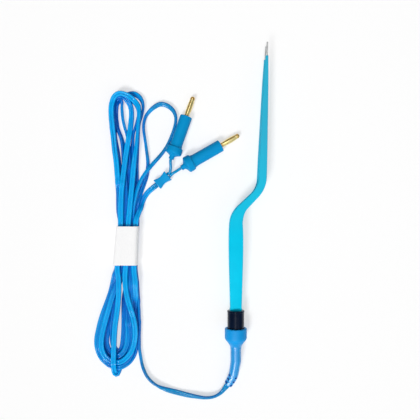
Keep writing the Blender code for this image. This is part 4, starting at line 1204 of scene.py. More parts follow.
@dataclass
class TwinCord:
    """One flat twin cord: the run from the boot, the banded hank, its side loop and the tail."""

    width: float = 4.2 * MM
    thickness: float = 2.1 * MM
    web: float = 1.1 * MM
    ring_spacing: float = 1.6 * MM
    length: float = 2.85
    band_top: float = 63.6 * MM
    band_bottom: float = 34.1 * MM
    band_top_middle: float = -82.5 * MM
    band_bottom_middle: float = -84.3 * MM
    band_spread: float = 1.1
    settle_steps: int = 60
    pair_steps: int = 12
    pair_margin: float = 1.5 * MM
    strand_gap: float = 3.0
    touch: float = 0.98
    table_gap: float = 0.05 * MM
    sideways: float = 0.5
    sink: float = 0.012 * MM
    haste: float = 1.4
    pull_home: float = 0.04
    held_rows: int = 3
    chunk: int = 128
    core_points: int = 9
    # Painted shade: reach and power of the shade from strands above, and strengths of the shade painted on
    # the grooves and sides and on lone strands
    painted_shade_reach: float = 7.0 * MM
    painted_shade_power: float = 0.6
    side_painted_shade: float = 0.7
    lone_painted_shade_strength: float = 0.65

    @property
    def reach(self) -> float:
        """From the cord's middle to a core's."""
        return (self.width - self.thickness) / 2.0

    def outline(self) -> Array:
        """Section of the cord: two round cores joined by a web with a shallow groove each side.

        Outside the cores' middles the half height is that of a circle; between them it rises from
        the web's by the square of a sine.

        Returns:
            Points of the section, as an array (n, 2).
        """
        radius = self.thickness / 2.0
        apart = self.width / 2.0 - radius
        angles = np.radians(np.linspace(-90.0, 90.0, self.core_points))
        outer = np.column_stack((apart + radius * np.cos(angles), radius * np.sin(angles)))
        across = np.linspace(apart, -apart, self.core_points)[1:-1]
        half = self.web / 2.0 + (radius - self.web / 2.0) * np.sin(math.pi * across / (2.0 * apart)) ** 2
        top = np.column_stack((across, half))
        return np.vstack((outer, top, -outer, -top))

    def pass_row(self, name: str, at_top: bool) -> Array:
        """Where a pass enters the band: x, y, z and roll.

        Args:
            name: name of the pass.
            at_top: at the band's upper end, or else at its lower.

        Returns:
            The row, in millimetres and degrees.
        """
        across, height = PASSES[name]
        if at_top:
            return np.array((self.band_top_middle / MM + across, self.band_top / MM, height, 0.0))
        x = self.band_bottom_middle / MM + across * self.band_spread
        return np.array((x, self.band_bottom / MM, height, 0.0))

    def control_rows(self, start: Array, end: Array) -> Array:
        """Chains the run, every pass and loop, and the tail into one route.

        Args:
            start: first rows, out of the boot.
            end: last rows, into the splitter.

        Returns:
            Rows of x, y, z in millimetres and roll in degrees.
        """
        rows = [start, np.array(RUN_ROUTE, dtype=float)]
        above, below = dict(UPPER_LOOPS), dict(LOWER_LOOPS)
        here, at_top = "low_right", False
        while True:
            rows += [self.pass_row(here, at_top)[None], self.pass_row(here, not at_top)[None]]
            at_top = not at_top
            loops = above if at_top else below
            key = next((pair for pair in loops if here in pair), None)
            if key is None:
                break
            loop = np.array(loops.pop(key), dtype=float)
            if here == key[1]:
                loop = loop[::-1] * np.array((1.0, 1.0, 1.0, -1.0))
            rows.append(loop)
            here = key[1] if here == key[0] else key[0]
        rows += [np.array(TAIL_ROUTE, dtype=float), end]
        return np.vstack(rows)

    def cores(self, line: Array) -> Array:
        """Step from the centreline to the right-hand core's middle, at each row."""
        side, above = crosswise(tangents_of(line))
        return self.reach * (side * np.cos(line[:, 3:4]) + above * np.sin(line[:, 3:4]))

    def pairs(self, place: Array, spaced: Array) -> Array:
        """Rows of different strands that lie near each other.

        Args:
            place: rows of x, y and z.
            spaced: distance walked along the cord at each row.

        Returns:
            Numbers of the two rows of each pair, as an array (pairs, 2).
        """
        chunks = []
        for first in range(0, len(place), self.chunk):
            gap = place[first : first + self.chunk, None] - place[None]
            near = np.einsum("ijk,ijk->ij", gap, gap) < (self.width + self.pair_margin) ** 2
            i, j = np.nonzero(near)
            i = i + first
            keep = (i < j) & (spaced[j] - spaced[i] > self.strand_gap * self.width)
            chunks.append(np.column_stack((i[keep], j[keep])))
        return np.vstack(chunks)

    def settle(self, line: Array) -> Array:
        """Lets the strands push each other apart and sink until they rest on each other.

        Each core is a row of points. In every step two core points nearer than a core's width are
        moved apart along the line between them, every point sinks a little, stays above the table,
        is drawn back towards its place in plan, and shares its move with its neighbours.

        Args:
            line: rows of x, y, z in metres and roll in radians.

        Returns:
            The settled rows.
        """
        place, core, spaced = line[:, :3].copy(), self.cores(line), walk(line)
        home = place[:, :2].copy()
        floor = self.thickness / 2.0 + np.abs(core[:, 2]) + self.table_gap
        apart = self.thickness * self.touch
        free = slice(self.held_rows, -self.held_rows)
        held = np.ones(len(place), dtype=bool)
        held[free] = False
        for step in range(self.settle_steps):
            if step % self.pair_steps == 0:
                every_i, every_j = self.pairs(place, spaced).T
            push = np.zeros_like(place)
            hits = np.zeros(len(place))
            for sign_i, sign_j in product((-1.0, 1.0), repeat=2):
                gap = place[every_i] + sign_i * core[every_i] - place[every_j] - sign_j * core[every_j]
                far = np.linalg.norm(gap, axis=1)
                hit = far < apart
                i, j, gap, far = every_i[hit], every_j[hit], gap[hit], far[hit]
                move = gap / np.maximum(far, 1e-9)[:, None] * ((apart - far) / 2.0)[:, None]
                for rows, share in ((i, move), (j, -move)):
                    np.add.at(push, rows, share)
                    np.add.at(hits, rows, 1.0)
            push /= np.maximum(hits, 1.0)[:, None]
            push[:, :2] *= self.sideways
            push[:, 2] -= self.sink
            push = 0.5 * push + 0.25 * (np.roll(push, 1, axis=0) + np.roll(push, -1, axis=0))
            push[held] = 0.0
            place += self.haste * push
            place[:, :2] += self.pull_home * (home - place[:, :2])
            place[free, 2] = np.maximum(place[free, 2], floor[free])
        return np.column_stack((place, line[:, 3]))

    def line(self, boot: Connector, splitter: "Splitter") -> Array:
        """Whole centreline with its roll, in the world.

        Args:
            boot: the connector that the cord leaves.
            splitter: the moulding that it enters.

        Returns:
            Rows of x, y, z and roll.
        """
        leave, ahead = boot.exit()
        first = np.array([leave + ahead * SEAT_GAP, leave + ahead * self.thickness])
        last = splitter.end_point(front=False)[None]
        start = np.column_stack(((first - origin()) / MM, np.zeros(2)))
        end = np.column_stack(((last - origin()) / MM, np.zeros(1)))
        rows = self.control_rows(start, end) * np.array((MM, MM, MM, math.pi / 180.0))
        line = through(rows, self.ring_spacing)
        line[:, :3] += origin()
        return self.settle(line)

    def shelter(self, line: Array) -> tuple[Array, Array]:
        """Painted shade of each core, from the strands above it and from lying alone.

        Each core point that lies higher, near by and on another strand covers it by its extra
        height over the square of its distance; the painted shade is one less the falling power of
        e to the sum. A lone strand's shade is its strength times the falling power of e to the length of
        cord in its reach.

        Args:
            line: rows of x, y, z and roll.

        Returns:
            Shares of painted shade from 0 to 1, as an array (rows, 2), the core on the section's left
            first, and for each row the painted shade of a lone strand.
        """
        core, spaced = self.cores(line), walk(line)
        points = np.stack((line[:, :3] - core, line[:, :3] + core), axis=1)
        every, every_spaced = points.reshape(-1, 3), np.repeat(spaced, 2)
        cover, crowd = np.zeros((len(line), 2)), np.zeros((len(line), 2))
        for first in range(0, len(line), self.chunk):
            block = slice(first, first + self.chunk)
            gap = every[None, None] - points[block, :, None]
            square = np.einsum("ijkl,ijkl->ijk", gap, gap)
            other = np.abs(every_spaced[None] - spaced[block, None]) > self.strand_gap * self.width
            near = (square < self.painted_shade_reach**2) & other[:, None]
            height = np.maximum(gap[..., 2] - self.thickness / 4.0, 0.0)
            amount = np.where(near, height / np.maximum(square, self.thickness**2), 0.0)
            cover[block] = amount.sum(axis=2) * self.ring_spacing
            crowd[block] = near.sum(axis=2) * self.ring_spacing / self.painted_shade_reach
        lone = self.lone_painted_shade_strength * np.exp(-crowd.mean(axis=1))
        return 1.0 - np.exp(-self.painted_shade_power * cover), lone

    def build(
        self, boot: Connector, splitter: "Splitter", material: bpy.types.Material
    ) -> tuple[bpy.types.Object, Array]:
        """Builds the cord's tube.

        Painted shade darkens its colour in the grooves between its cores, on its sides, under other strands
        and where a strand lies alone.

        Args:
            boot: the connector that it leaves.
            splitter: the moulding that it enters.
            material: the sheath's finish.

        Returns:
            The piece and its path.
        """
        line = self.line(boot, splitter)
        outline = self.outline()
        cord = skin("twin_cord", sections(line, outline, line[:, 3]), sharp=80.0)
        share = np.clip(0.5 + 0.5 * outline[:, 0] / self.reach, 0.0, 1.0)
        shelter, lone = self.shelter(line)
        # Painted shade of each point: the cores' shade under other strands, deepened in the grooves and on
        # the sides
        spread = shelter[:, :1] * (1.0 - share) + shelter[:, 1:] * share
        groove_and_side_painted_shade = 1.0 - np.abs(outline[:, 1]) * 2.0 / self.thickness
        spread = 1.0 - (1.0 - spread) * (1.0 - self.side_painted_shade * groove_and_side_painted_shade)
        share_points(cord, PAINTED_SHADE, spread)
        share_points(cord, LONE_PAINTED_SHADE, np.repeat(lone[:, None], len(outline), axis=1))
        nodes = ("cord_run", "cord_hank", "cord_side_loop", "cord_tail")
        fit(cord, material, Slot.CORD, Body.CORD_SET, *nodes)
        LOG.info("twin cord: %.3f m", walk(line)[-1])
        return cord, line[:, :3]


def box_outline(width: float, height: float, corner: float, steps: int = 6) -> Array:
    """Outline of a rectangle with round corners, each a quarter circle.

    Args:
        width: its size across.
        height: its size up.
        corner: radius of the corners.
        steps: points to each corner.

    Returns:
        The points, as an array (n, 2).
    """
    rows = []
    for quarter, (right, up) in enumerate(((1, 1), (-1, 1), (-1, -1), (1, -1))):
        angles = math.pi / 2.0 * (quarter + np.linspace(0.0, 1.0, steps))
        rows.append(np.column_stack((
            right * (width / 2.0 - corner) + corner * np.cos(angles),
            up * (height / 2.0 - corner) + corner * np.sin(angles),
        )))
    return np.vstack(rows)


@dataclass
class Splitter:
    """Waisted moulding where the twin cord parts into two leads."""

    place: tuple[float, float] = (-56.1 * MM, 99.1 * MM)
    heading: float = math.radians(40.0)
    length: float = 10.9 * MM
    end_width: float = 8.5 * MM
    waist_width: float = 6.2 * MM
    end_height: float = 5.6 * MM
    waist_height: float = 4.6 * MM
    corner: float = 0.9 * MM
    edge: float = 0.45 * MM
    waist_power: float = 1.3
    rows: int = 33

    def ahead(self) -> Array:
        """Direction from the twin cord to the leads."""
        return np.array((math.cos(self.heading), math.sin(self.heading), 0.0))

    def centre(self) -> Array:
        """World point in the middle."""
        return origin() + np.array((*self.place, self.end_height / 2.0))

    def end_point(self, front: bool, across: float = 0.0) -> Array:
        """Point off an end face by the seat gap, and to the left by a distance.

        Args:
            front: off the leads' end, or else off the twin cord's.
            across: distance to the left.

        Returns:
            World point.
        """
        ahead = self.ahead()
        left = np.array((-ahead[1], ahead[0], 0.0))
        reach = self.length / 2.0 + SEAT_GAP
        return self.centre() + ahead * (reach if front else -reach) + left * across

    def build(self, material: bpy.types.Material) -> bpy.types.Object:
        """Builds the moulding: a rectangle with round corners, drawn in towards the middle.

        Args:
            material: its finish.

        Returns:
            The moulding.
        """
        half = self.length / 2.0
        inner = np.linspace(-1.0, 1.0, self.rows)
        along = np.concatenate(([-half], inner * (half - self.edge), [half]))
        waist = np.cos(np.clip(along / half, -1.0, 1.0) * math.pi / 2.0) ** self.waist_power
        round_off = np.zeros(len(along))
        round_off[[0, -1]] = self.edge
        rings = []
        for place, draw, cut in zip(along, waist, round_off):
            width = self.end_width + (self.waist_width - self.end_width) * draw - cut
            height = self.end_height + (self.waist_height - self.end_height) * draw - cut
            rings.append(upright(box_outline(width, height, self.corner), place))
        piece = skin("splitter_body", placed(np.array(rings), self.centre(), self.ahead()), sharp=40.0)
        return fit(piece, material, Slot.PLUG, Body.CORD_SET, "splitter")


@dataclass
class Plug:
    """A 4 mm plug: moulded body with a flared collar, turned pin and slotted spring, and its lead."""

    name: str
    place: tuple[float, float]
    heading: float
    lead_route: tuple[tuple[float, float, float], ...]
    lead_side: float
    lead_radius: float = 1.1 * MM
    # Painted shade of the lead, as for a strand that lies alone
    lead_painted_shade: float = 0.6
    lead_apart: float = 1.3
    lead_spacing: float = 0.7 * MM
    lead_steps: int = 24
    front_radius: float = 4.68 * MM
    rear_radius: float = 4.7 * MM
    body_length: float = 28.2 * MM
    edge: float = 0.5 * MM
    collar_radius: float = 6.4 * MM
    rim_length: float = 1.4 * MM
    flare_length: float = 4.4 * MM
    rear_length: float = 3.4 * MM
    tail_radius: float = 2.0 * MM
    tail_length: float = 2.6 * MM
    pin_exposed: float = 16.2 * MM
    pin_seat: float = 9.0 * MM
    counterbore: float = 0.8 * MM
    core_radius: float = 1.25 * MM
    pin_collar_radius: float = 1.9 * MM
    pin_collar_length: float = 1.4 * MM
    nose_radius: float = 1.8 * MM
    nose_length: float = 2.2 * MM
    spring_wall: float = 0.3 * MM
    spring_end_radius: float = 1.85 * MM
    spring_bulge_radius: float = 2.1 * MM
    spring_ring: float = 1.1 * MM
    slot_width: float = 0.65 * MM
    slot_turn: float = math.radians(16.0)
    leaves: int = 4
    leaf_points: int = 14
    leaf_rows: int = 25
    steps: int = 64
    pin_steps: int = 40

    @property
    def tilt(self) -> float:
        """Nose-down tilt of a plug that lies on its collar's rim and its front edge."""
        return math.atan2(self.collar_radius - self.front_radius, self.body_length - self.edge)

    def ahead(self) -> Array:
        """Direction from the collar to the pin.

        Returns:
            Unit direction in the world.
        """
        level = math.cos(self.tilt)
        return np.array((
            math.cos(self.heading) * level, math.sin(self.heading) * level, -math.sin(self.tilt),
        ))

    def base(self) -> Array:
        """World point in the middle of the collar's rim."""
        height = self.collar_radius * math.cos(self.tilt) + 0.5 * self.rim_length * math.sin(self.tilt)
        return origin() + np.array((*self.place, height))

    def body(self) -> bpy.types.Object:
        """Builds the moulded body: a turned profile with rounded corners.

        Returns:
            The body, without its finish.
        """
        rim = self.rim_length / 2.0
        rear = -rim - self.rear_length
        front = self.body_length
        bore = self.pin_collar_radius + SEAT_GAP
        seat = self.core_radius + SEAT_GAP
        profile = rounded((
            (rear - self.tail_length, 0.6 * self.tail_radius, 0.0),
            (rear - self.tail_length, self.tail_radius, 0.5 * MM),
            (rear - 0.2 * MM, self.tail_radius, 0.5 * MM),
            (rear + 0.8 * MM, 3.3 * MM, 0.6 * MM),
            (-rim - 1.3 * MM, 6.25 * MM, 0.6 * MM),
            (-rim, self.collar_radius, 0.4 * MM),
            (rim + 2.0 * MM, 6.22 * MM, 0.35 * MM),
            (rim + 2.4 * MM, 5.3 * MM, 0.35 * MM),
            (rim + self.flare_length, self.rear_radius, 1.4 * MM),
            (front, self.front_radius, self.edge),
            (front, bore, 0.0),
            (front - self.counterbore, bore, 0.0),
            (front - self.counterbore, seat, 0.0),
            (front - self.pin_seat - SEAT_GAP, seat, 0.0),
        ), steps=6)
        rings = placed(turned(profile, self.steps), self.base(), self.ahead())
        return skin("plug_body_" + self.name, rings, sharp=30.0)

    def pin(self) -> bpy.types.Object:
        """Builds the turned pin with its collar, thin core and round nose.

        Returns:
            The pin, without its finish.
        """
        back = self.body_length - self.counterbore + SEAT_GAP
        front = back + self.pin_collar_length
        nose_end = self.body_length + self.pin_exposed
        nose_start = nose_end - self.nose_length
        profile = rounded((
            (self.body_length - self.pin_seat, self.core_radius, 0.0),
            (back, self.core_radius, 0.0),
            (back, self.pin_collar_radius, 0.15 * MM),
            (front, self.pin_collar_radius, 0.2 * MM),
            (front, self.core_radius, 0.0),
            (nose_start, self.core_radius, 0.0),
            (nose_start, self.nose_radius, 0.2 * MM),
            (nose_end - 0.8 * MM, self.nose_radius * 0.97, 0.6 * MM),
            (nose_end, self.nose_radius * 0.55, 0.35 * MM),
            (nose_end, 0.2 * MM, 0.0),
        ))
        rings = placed(turned(profile, self.pin_steps), self.base(), self.ahead())
        return skin("plug_pin_turned_" + self.name, rings, sharp=40.0)

    def spring(self) -> bpy.types.Object:
        """Builds the spring sleeve: two end rings and the bowed leaves between them.

        A leaf is an arc of a turned wall, whose radius rises above the end rings' by a sine. The
        slots are what is left open between the leaves.

        Returns:
            The sleeve, without its finish.
        """
        back = self.body_length - self.counterbore + self.pin_collar_length + 2.0 * SEAT_GAP
        front = self.body_length + self.pin_exposed - self.nose_length - SEAT_GAP
        share = np.linspace(0.0, 1.0, self.leaf_rows)
        along = back + self.spring_ring + share * (front - back - 2.0 * self.spring_ring)
        bow = self.spring_bulge_radius - self.spring_end_radius
        radius = self.spring_end_radius + bow * np.sin(math.pi * share)
        rim, bore = self.spring_end_radius, self.spring_end_radius - self.spring_wall
        blocks = []
        for low, high in ((back, back + self.spring_ring), (front - self.spring_ring, front)):
            profile = ((low, rim), (high, rim), (high, bore), (low, bore))
            blocks.append((turned(profile, self.leaves * self.leaf_points), True))
        half = math.pi / self.leaves - self.slot_width / 2.0 / self.spring_end_radius
        for leaf in range(self.leaves):
            centre = 2.0 * math.pi * (leaf + 0.5) / self.leaves + self.slot_turn
            angles = centre + np.linspace(-half, half, self.leaf_points)
            arcs = (swept(along, radius, angles), swept(along, radius - self.spring_wall, angles[::-1]))
            blocks.append((np.concatenate(arcs, axis=1), False))
        faces: list[list[int]] = []
        used = 0
        for rings, closed in blocks:
            index = used + np.arange(rings[..., 0].size).reshape(rings.shape[:2])
            faces += joined(index, closed).tolist()
            if not closed:
                faces += [index[0][::-1].tolist(), index[-1].tolist()]
            used += index.size
        points = np.vstack([rings.reshape(-1, 3) for rings, _ in blocks])
        points = placed(points, self.base(), self.ahead())
        return shaped("plug_spring_leaves_" + self.name, points, faces, 40.0, turn=True)

    def lead(self, splitter: Splitter, material: bpy.types.Material) -> bpy.types.Object:
        """Builds the single round lead from the splitter to the plug's tail.

        Args:
            splitter: where the lead starts.
            material: its finish.

        Returns:
            The lead.
        """
        behind = self.rim_length / 2.0 + self.rear_length + self.tail_length + SEAT_GAP
        end = self.base() - self.ahead() * behind
        start = splitter.end_point(True, self.lead_side * self.lead_apart * self.lead_radius)
        middle = np.array(self.lead_route) * MM + origin()
        straight = self.ahead() * self.lead_radius
        line = through(np.vstack((start, middle, end - straight, end)), self.lead_spacing)
        angles = circle(self.lead_steps)
        outline = self.lead_radius * np.column_stack((np.cos(angles), np.sin(angles)))
        lead = skin("single_lead_" + self.name, sections(line, outline), sharp=60.0)
        # Painted shade: the lead is darkened as a strand that lies alone
        share_points(lead, LONE_PAINTED_SHADE, np.full((len(line), len(outline)), self.lead_painted_shade))
        return fit(lead, material, Slot.CORD, Body.CORD_SET, "lead_" + self.name)

    def build(
        self, splitter: Splitter, blue: bpy.types.Material, gilt: bpy.types.Material,
        cord: bpy.types.Material,
    ) -> list[bpy.types.Object]:
        """Builds and dresses the plug and its lead.

        Args:
            splitter: where the lead starts.
            blue: the moulding's finish.
            gilt: the spring's finish.
            cord: the lead's finish.

        Returns:
            The pieces that go with the cord.
        """
        made = (
            (self.body(), blue, Slot.PLUG, "plug_boot_"),
            (self.pin(), SHADED_PIN_FINISH.material(), Slot.GILT, "plug_pin_"),
            (self.spring(), gilt, Slot.GILT, "plug_spring_"),
        )
        going = [fit(piece, look, slot, Body.CORD_SET, node + self.name) for piece, look, slot, node in made]
        return [*going, self.lead(splitter, cord)]


@dataclass
class PaperBand:
    """Paper band round the hank's waist, with a lapped seam on top."""

    top: float = 63.6 * MM
    length: float = 29.5 * MM
    top_width: float = 16.6 * MM
    bottom_width: float = 18.4 * MM
    top_middle: float = -82.5 * MM
    bottom_middle: float = -84.3 * MM
    height: float = 10.2 * MM
    wall: float = 0.25 * MM
    corner: float = 2.6 * MM
    lap_width: float = 3.2 * MM
    lap_wall: float = 0.14 * MM
    lap_hug: float = 0.04
    lap_end: float = 0.1
    flat_rows: int = 6
    corner_steps: int = 10
    rows: int = 24

    def at(self, share: float) -> tuple[float, float, float]:
        """Size and place of the sleeve, at a share of its length from its top end.

        Args:
            share: share from 0 to 1.

        Returns:
            Its width, its middle along X and its place along Y.
        """
        width = self.top_width + (self.bottom_width - self.top_width) * share
        middle = self.top_middle + (self.bottom_middle - self.top_middle) * share
        return width, middle, self.top - self.length * share

    def build(self, material: bpy.types.Material) -> bpy.types.Object:
        """Builds the sleeve: a rectangle with round corners that widens towards its lower end.

        Args:
            material: its finish.

        Returns:
            The sleeve.
        """
        outer, inner = [], []
        for share in np.linspace(0.0, 1.0, self.rows):
            width, middle, y = self.at(share)
            for grow, rings in ((0.0, outer), (-self.wall, inner)):
                size = (width + 2.0 * grow, self.height + 2.0 * grow)
                outline = box_outline(*size, self.corner + grow, self.corner_steps)
                rings.append(upright(outline, y, middle, self.height / 2.0))
        rings = np.array(outer + inner[::-1]) + origin()
        band = skin("paper_band", rings, ring_shape=True, sharp=50.0)
        return fit(band, material, Slot.BAND, Body.CORD_SET, "hank_band")

    def lap(self, material: bpy.types.Material) -> bpy.types.Object:
        """Builds the glued lap: a strip that lies on the sleeve from its top down its right side.

        Args:
            material: its finish.

        Returns:
            The lap.
        """
        angles = np.linspace(math.pi / 2.0, self.lap_end, self.corner_steps)
        rings = []
        for share in np.linspace(0.0, 1.0, self.rows):
            width, middle, y = self.at(share)
            bend = width / 2.0 - self.corner
            flat = np.linspace(bend - self.lap_width, bend, self.flat_rows)[:-1]
            across = np.concatenate((flat, bend + self.corner * np.cos(angles)))
            down = self.height - self.corner * (1.0 - np.sin(angles))
            under = np.column_stack((across, np.concatenate((np.full(len(flat), self.height), down))))
            lean = np.concatenate((np.full(len(flat), math.pi / 2.0), angles))
            over = self.lap_wall * np.column_stack((np.cos(lean), np.sin(lean)))
            outline = np.vstack((under + over, (under + self.lap_hug * over)[::-1]))
            rings.append(upright(outline, y, middle))
        lap = skin("paper_band_lap", np.array(rings) + origin(), sharp=40.0)
        return fit(lap, material, Slot.BAND, Body.CORD_SET)


@dataclass
class Tines:
    """Two bayonet tines of steel strip, each in a fitted insulating coat with a bare tip."""

    handle: float = 73.1 * MM
    step: float = 19.4 * MM
    angle: float = math.radians(45.0)
    bend_radius: float = 20.0 * MM
    shaft: float = 109.2 * MM
    lean: float = math.radians(2.1)
    bare_tip: float = 10.1 * MM
    root_depth: float = 10.0 * MM
    coat_seat: float = 4.0 * MM
    coat_wall: float = 0.35 * MM
    coat_gap: float = 0.08 * MM
    steel_round: float = 0.35 * MM
    nose: float = 0.27 * MM
    axis_height: float = 8.35 * MM
    tip_width: float = 1.15 * MM
    bead_place: float = 1.1 * MM
    bead_reach: float = 0.45 * MM
    bead_proud: float = 0.38 * MM
    bead_span: tuple[float, float] = (-1.7, 2.0)
    bead_rows: int = 12
    lip_share: float = 0.3
    lip_start: float = 0.88
    nose_flat: float = 0.55
    nose_angles: tuple[float, ...] = (30.0, 55.0, 75.0, 90.0)
    handle_spacing: float = 1.6 * MM
    bend_rows: int = 18
    shaft_rows: int = 60
    corner_steps: int = 7
    corner_limit: float = 0.98

    @property
    def neck(self) -> float:
        """Place of the second bend's corner."""
        return self.handle + self.step / math.tan(self.angle)

    @property
    def tip(self) -> float:
        """Place of the tips."""
        return self.neck + self.shaft

    @property
    def coat_end(self) -> float:
        """Place where the coat ends."""
        return self.tip - self.bare_tip

    def width(self, along: Array) -> Array:
        """Width over the coat, from above, by rows of place and width in millimetres.

        Args:
            along: places along the axis.

        Returns:
            The width at each.
        """
        rows = (
            (0.0, 8.6), (self.handle / MM - 19.0, 10.4), (self.handle / MM - 4.0, 9.2),
            (self.neck / MM - 9.0, 5.6), (self.neck / MM + 7.0, 6.0), (self.neck / MM + 51.0, 4.6),
            (self.neck / MM + 81.0, 3.4), (self.coat_end / MM, 2.2),
            (self.tip / MM, (self.tip_width + 2.0 * (self.coat_wall + self.coat_gap)) / MM),
        )
        return monotone(rows, along / MM) * MM

    def thickness(self, along: Array) -> Array:
        """Thickness of the steel strip, by rows of place and thickness in millimetres.

        Args:
            along: places along the axis.

        Returns:
            The thickness at each.
        """
        rows = (
            (0.0, 1.4), (self.handle / MM - 19.0, 1.8), (self.neck / MM, 2.2),
            (self.coat_end / MM, 1.0), (self.tip / MM, 0.9),
        )
        return monotone(rows, along / MM) * MM

    def stand(self, along: Array) -> Array:
        """Height of the steel's middle above the axis, by rows of place and the coat's outer height.

        Args:
            along: places along the axis.

        Returns:
            The height at each.
        """
        rows = ((0.0, 3.0), (21.0, 5.7), (46.0, 8.35), (self.neck / MM + 14.0, 8.35), (self.tip / MM, 6.5))
        outer = monotone(rows, along / MM) * MM
        return outer - self.coat_wall - self.coat_gap - self.thickness(along) / 2.0

    def stations(self, start: float, end: float) -> Array:
        """Centreline in plan: straight handle, arc, slanted neck, arc and leaning shaft.

        Args:
            start: where it starts, along the axis.
            end: where it ends.

        Returns:
            Rows of x, y and heading from +Y towards +X.
        """
        back = self.bend_radius * math.tan(self.angle / 2.0)
        rows = [(0.0, y, 0.0) for y in np.arange(start, self.handle - back, self.handle_spacing)]
        for a in np.linspace(0.0, self.angle, self.bend_rows):
            rows.append((
                self.bend_radius * (1.0 - math.cos(a)),
                self.handle - back + self.bend_radius * math.sin(a), a,
            ))
        turn = self.angle - self.lean
        back = self.bend_radius * math.tan(turn / 2.0)
        start_x = self.step - back * math.sin(self.angle)
        start_y = self.neck - back * math.cos(self.angle)
        for a in np.linspace(self.angle, self.lean, self.bend_rows):
            rows.append((
                start_x + self.bend_radius * (math.cos(a) - math.cos(self.angle)),
                start_y + self.bend_radius * (math.sin(self.angle) - math.sin(a)), a,
            ))
        shaft_x, shaft_y, _ = rows[-1]
        reach = np.linspace(shaft_y, end, self.shaft_rows)[1:]
        rows += [(shaft_x + (y - shaft_y) * math.tan(self.lean), y, self.lean) for y in reach]
        return np.array(rows)

    def rings(self, stations: Array, grow: Union[float, Array], corner: float, side: float) -> Array:
        """Rings of a strip whose outline stands proud of the steel.

        Args:
            stations: rows of x, y and heading.
            grow: how far it stands proud on each side.
            corner: radius of its long edges.
            side: 1 for the upper tine and -1 for the lower.

        Returns:
            The rings, in the world.
        """
        along = stations[:, 1]
        half_width = self.width(along) / 2.0 - self.coat_wall - self.coat_gap + grow
        half_height = self.thickness(along) / 2.0 + grow
        corner = np.minimum(corner, np.minimum(half_width, half_height) * self.corner_limit)
        unit_box = box_outline(2.0, 2.0, 0.0, self.corner_steps)
        quarter = np.linspace(0.0, 1.0, self.corner_steps)
        angles = np.concatenate([math.pi / 2.0 * (q + quarter) for q in range(4)])
        across = np.sign(unit_box[:, 0]) * (half_width - corner)[:, None] + corner[:, None] * np.cos(angles)
        up = np.sign(unit_box[:, 1]) * (half_height - corner)[:, None] + corner[:, None] * np.sin(angles)
        heading = stations[:, 2]
        points = np.zeros((len(stations), len(angles), 3))
        points[..., 0] = stations[:, :1] + across * np.cos(heading)[:, None]
        points[..., 1] = stations[:, 1:2] - across * np.sin(heading)[:, None]
        points[..., 2] = side * (self.stand(along)[:, None] + up)
        return points + origin() + np.array((0.0, 0.0, self.axis_height))

    def tine(self, name: str, side: float) -> bpy.types.Object:
        """Builds one steel tine with a rounded tip.

        Args:
            name: upper or lower.
            side: 1 for the upper tine and -1 for the lower.

        Returns:
            The tine, without its finish.
        """
        stations = self.stations(-self.root_depth, self.tip)
        rings = self.rings(stations, 0.0, self.steel_round, side)
        heading = stations[-1, 2]
        ahead = np.array((math.sin(heading), math.cos(heading), 0.0))
        centre = rings[-1].mean(axis=0)
        cap = []
        for a in np.radians(self.nose_angles):
            shrink = self.nose_flat + (1.0 - self.nose_flat) * math.cos(a)
            cap.append(centre + ahead * self.nose * math.sin(a) + (rings[-1] - centre) * shrink)
        return skin("steel_tine_" + name, np.vstack((rings, np.array(cap))), sharp=50.0)

    def coat(self, name: str, side: float) -> bpy.types.Object:
        """Builds one coat: a sleeve with a low bead near its back end and a rounded front lip.

        Args:
            name: upper or lower.
            side: 1 for the upper tine and -1 for the lower.

        Returns:
            The coat, without its finish.
        """
        stations = self.stations(-self.coat_seat, self.coat_end)
        marks = self.bead_place + np.linspace(*self.bead_span, self.bead_rows) * self.bead_reach
        bead = np.column_stack((np.zeros(len(marks)), marks, np.zeros(len(marks))))
        y = stations[:, 1]
        stations = np.vstack((stations[y < marks[0]], bead, stations[y > marks[-1]]))
        swell = self.bead_proud * np.exp(-(((stations[:, 1] - self.bead_place) / self.bead_reach) ** 2))
        swell[stations[:, 1] < marks[0]] = 0.0
        proud = self.coat_gap + self.coat_wall
        outer = self.rings(stations, proud + swell, self.steel_round + proud, side)
        inner = self.rings(stations, self.coat_gap, self.steel_round + self.coat_gap, side)
        lip = outer[-1] + (inner[-1] - outer[-1]) * self.lip_share
        shoulder = outer[-2] + (outer[-1] - outer[-2]) * self.lip_start
        rings = np.vstack((outer[:-1], shoulder[None], lip[None], inner[::-1]))
        return skin("tine_coat_" + name, rings, ring_shape=True, sharp=50.0)

    def build(self) -> None:
        """Builds and dresses both tines."""
        steel, insulation = BrushedSteel().material(), COAT_FINISH.material()
        for name, side, body in (("upper", 1.0, Body.UPPER_TINE), ("lower", -1.0, Body.LOWER_TINE)):
            fit(self.tine(name, side), steel, Slot.STEEL, body, "tine_" + name)
            fit(self.coat(name, side), insulation, Slot.INSULATION, body, "coat_" + name)


@dataclass
class Ferrule:
    """Black ferrule and the gilt contacts behind it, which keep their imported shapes."""

    contacts: tuple[str, ...] = (
        "contact_pin_upper", "contact_pin_lower", "socket_contact_upper", "socket_contact_lower",
    )

    def build(self, gilt: bpy.types.Material) -> None:
        """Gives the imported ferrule, contact pins and socket contacts their finishes.

        Args:
            gilt: finish of the contacts.
        """
        dress_node("ferrule", BLACK_FINISH.material())
        for name in self.contacts:
            dress_node(name, gilt)


ROUTE_A = ((-50.4, 105.0, 3.8), (-49.7, 109.2, 5.2))
ROUTE_B = ((-48.6, 103.9, 3.9), (-45.4, 105.7, 5.3))
PLUGS = (
    Plug("a", (-47.1 * MM, 121.1 * MM), math.radians(70.7), ROUTE_A, 1.0),
    Plug("b", (-35.7 * MM, 111.4 * MM), math.radians(30.1), ROUTE_B, -1.0),
)


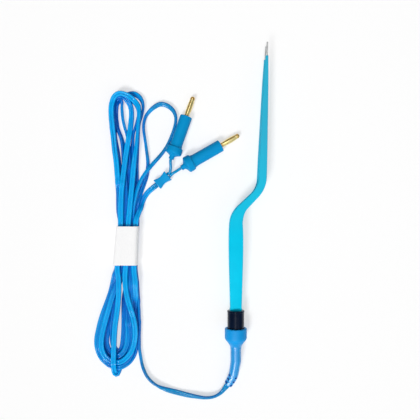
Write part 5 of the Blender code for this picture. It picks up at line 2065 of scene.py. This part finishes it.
def main() -> None:
    """Builds the studio, the cord set and the forceps."""
    logging.basicConfig(level=logging.INFO, format="%(name)s: %(message)s")
    Studio().build()
    boot, splitter = Connector(), Splitter()
    sheath, gilt = CORD_FINISH.material(), Gilt().material()
    cord, path = TwinCord().build(boot, splitter, sheath)
    going = [splitter.build(SPLITTER_FINISH.material())]
    blue = PLUG_FINISH.material()
    for plug in PLUGS:
        going += plug.build(splitter, blue, gilt, sheath)
    paper, band = Paper().material(), PaperBand()
    going += [band.build(paper), band.lap(paper)]
    leave, _ = boot.exit()
    boot.build()
    Tines().build()
    Ferrule().build(gilt)


if __name__ == "__main__":
    main()
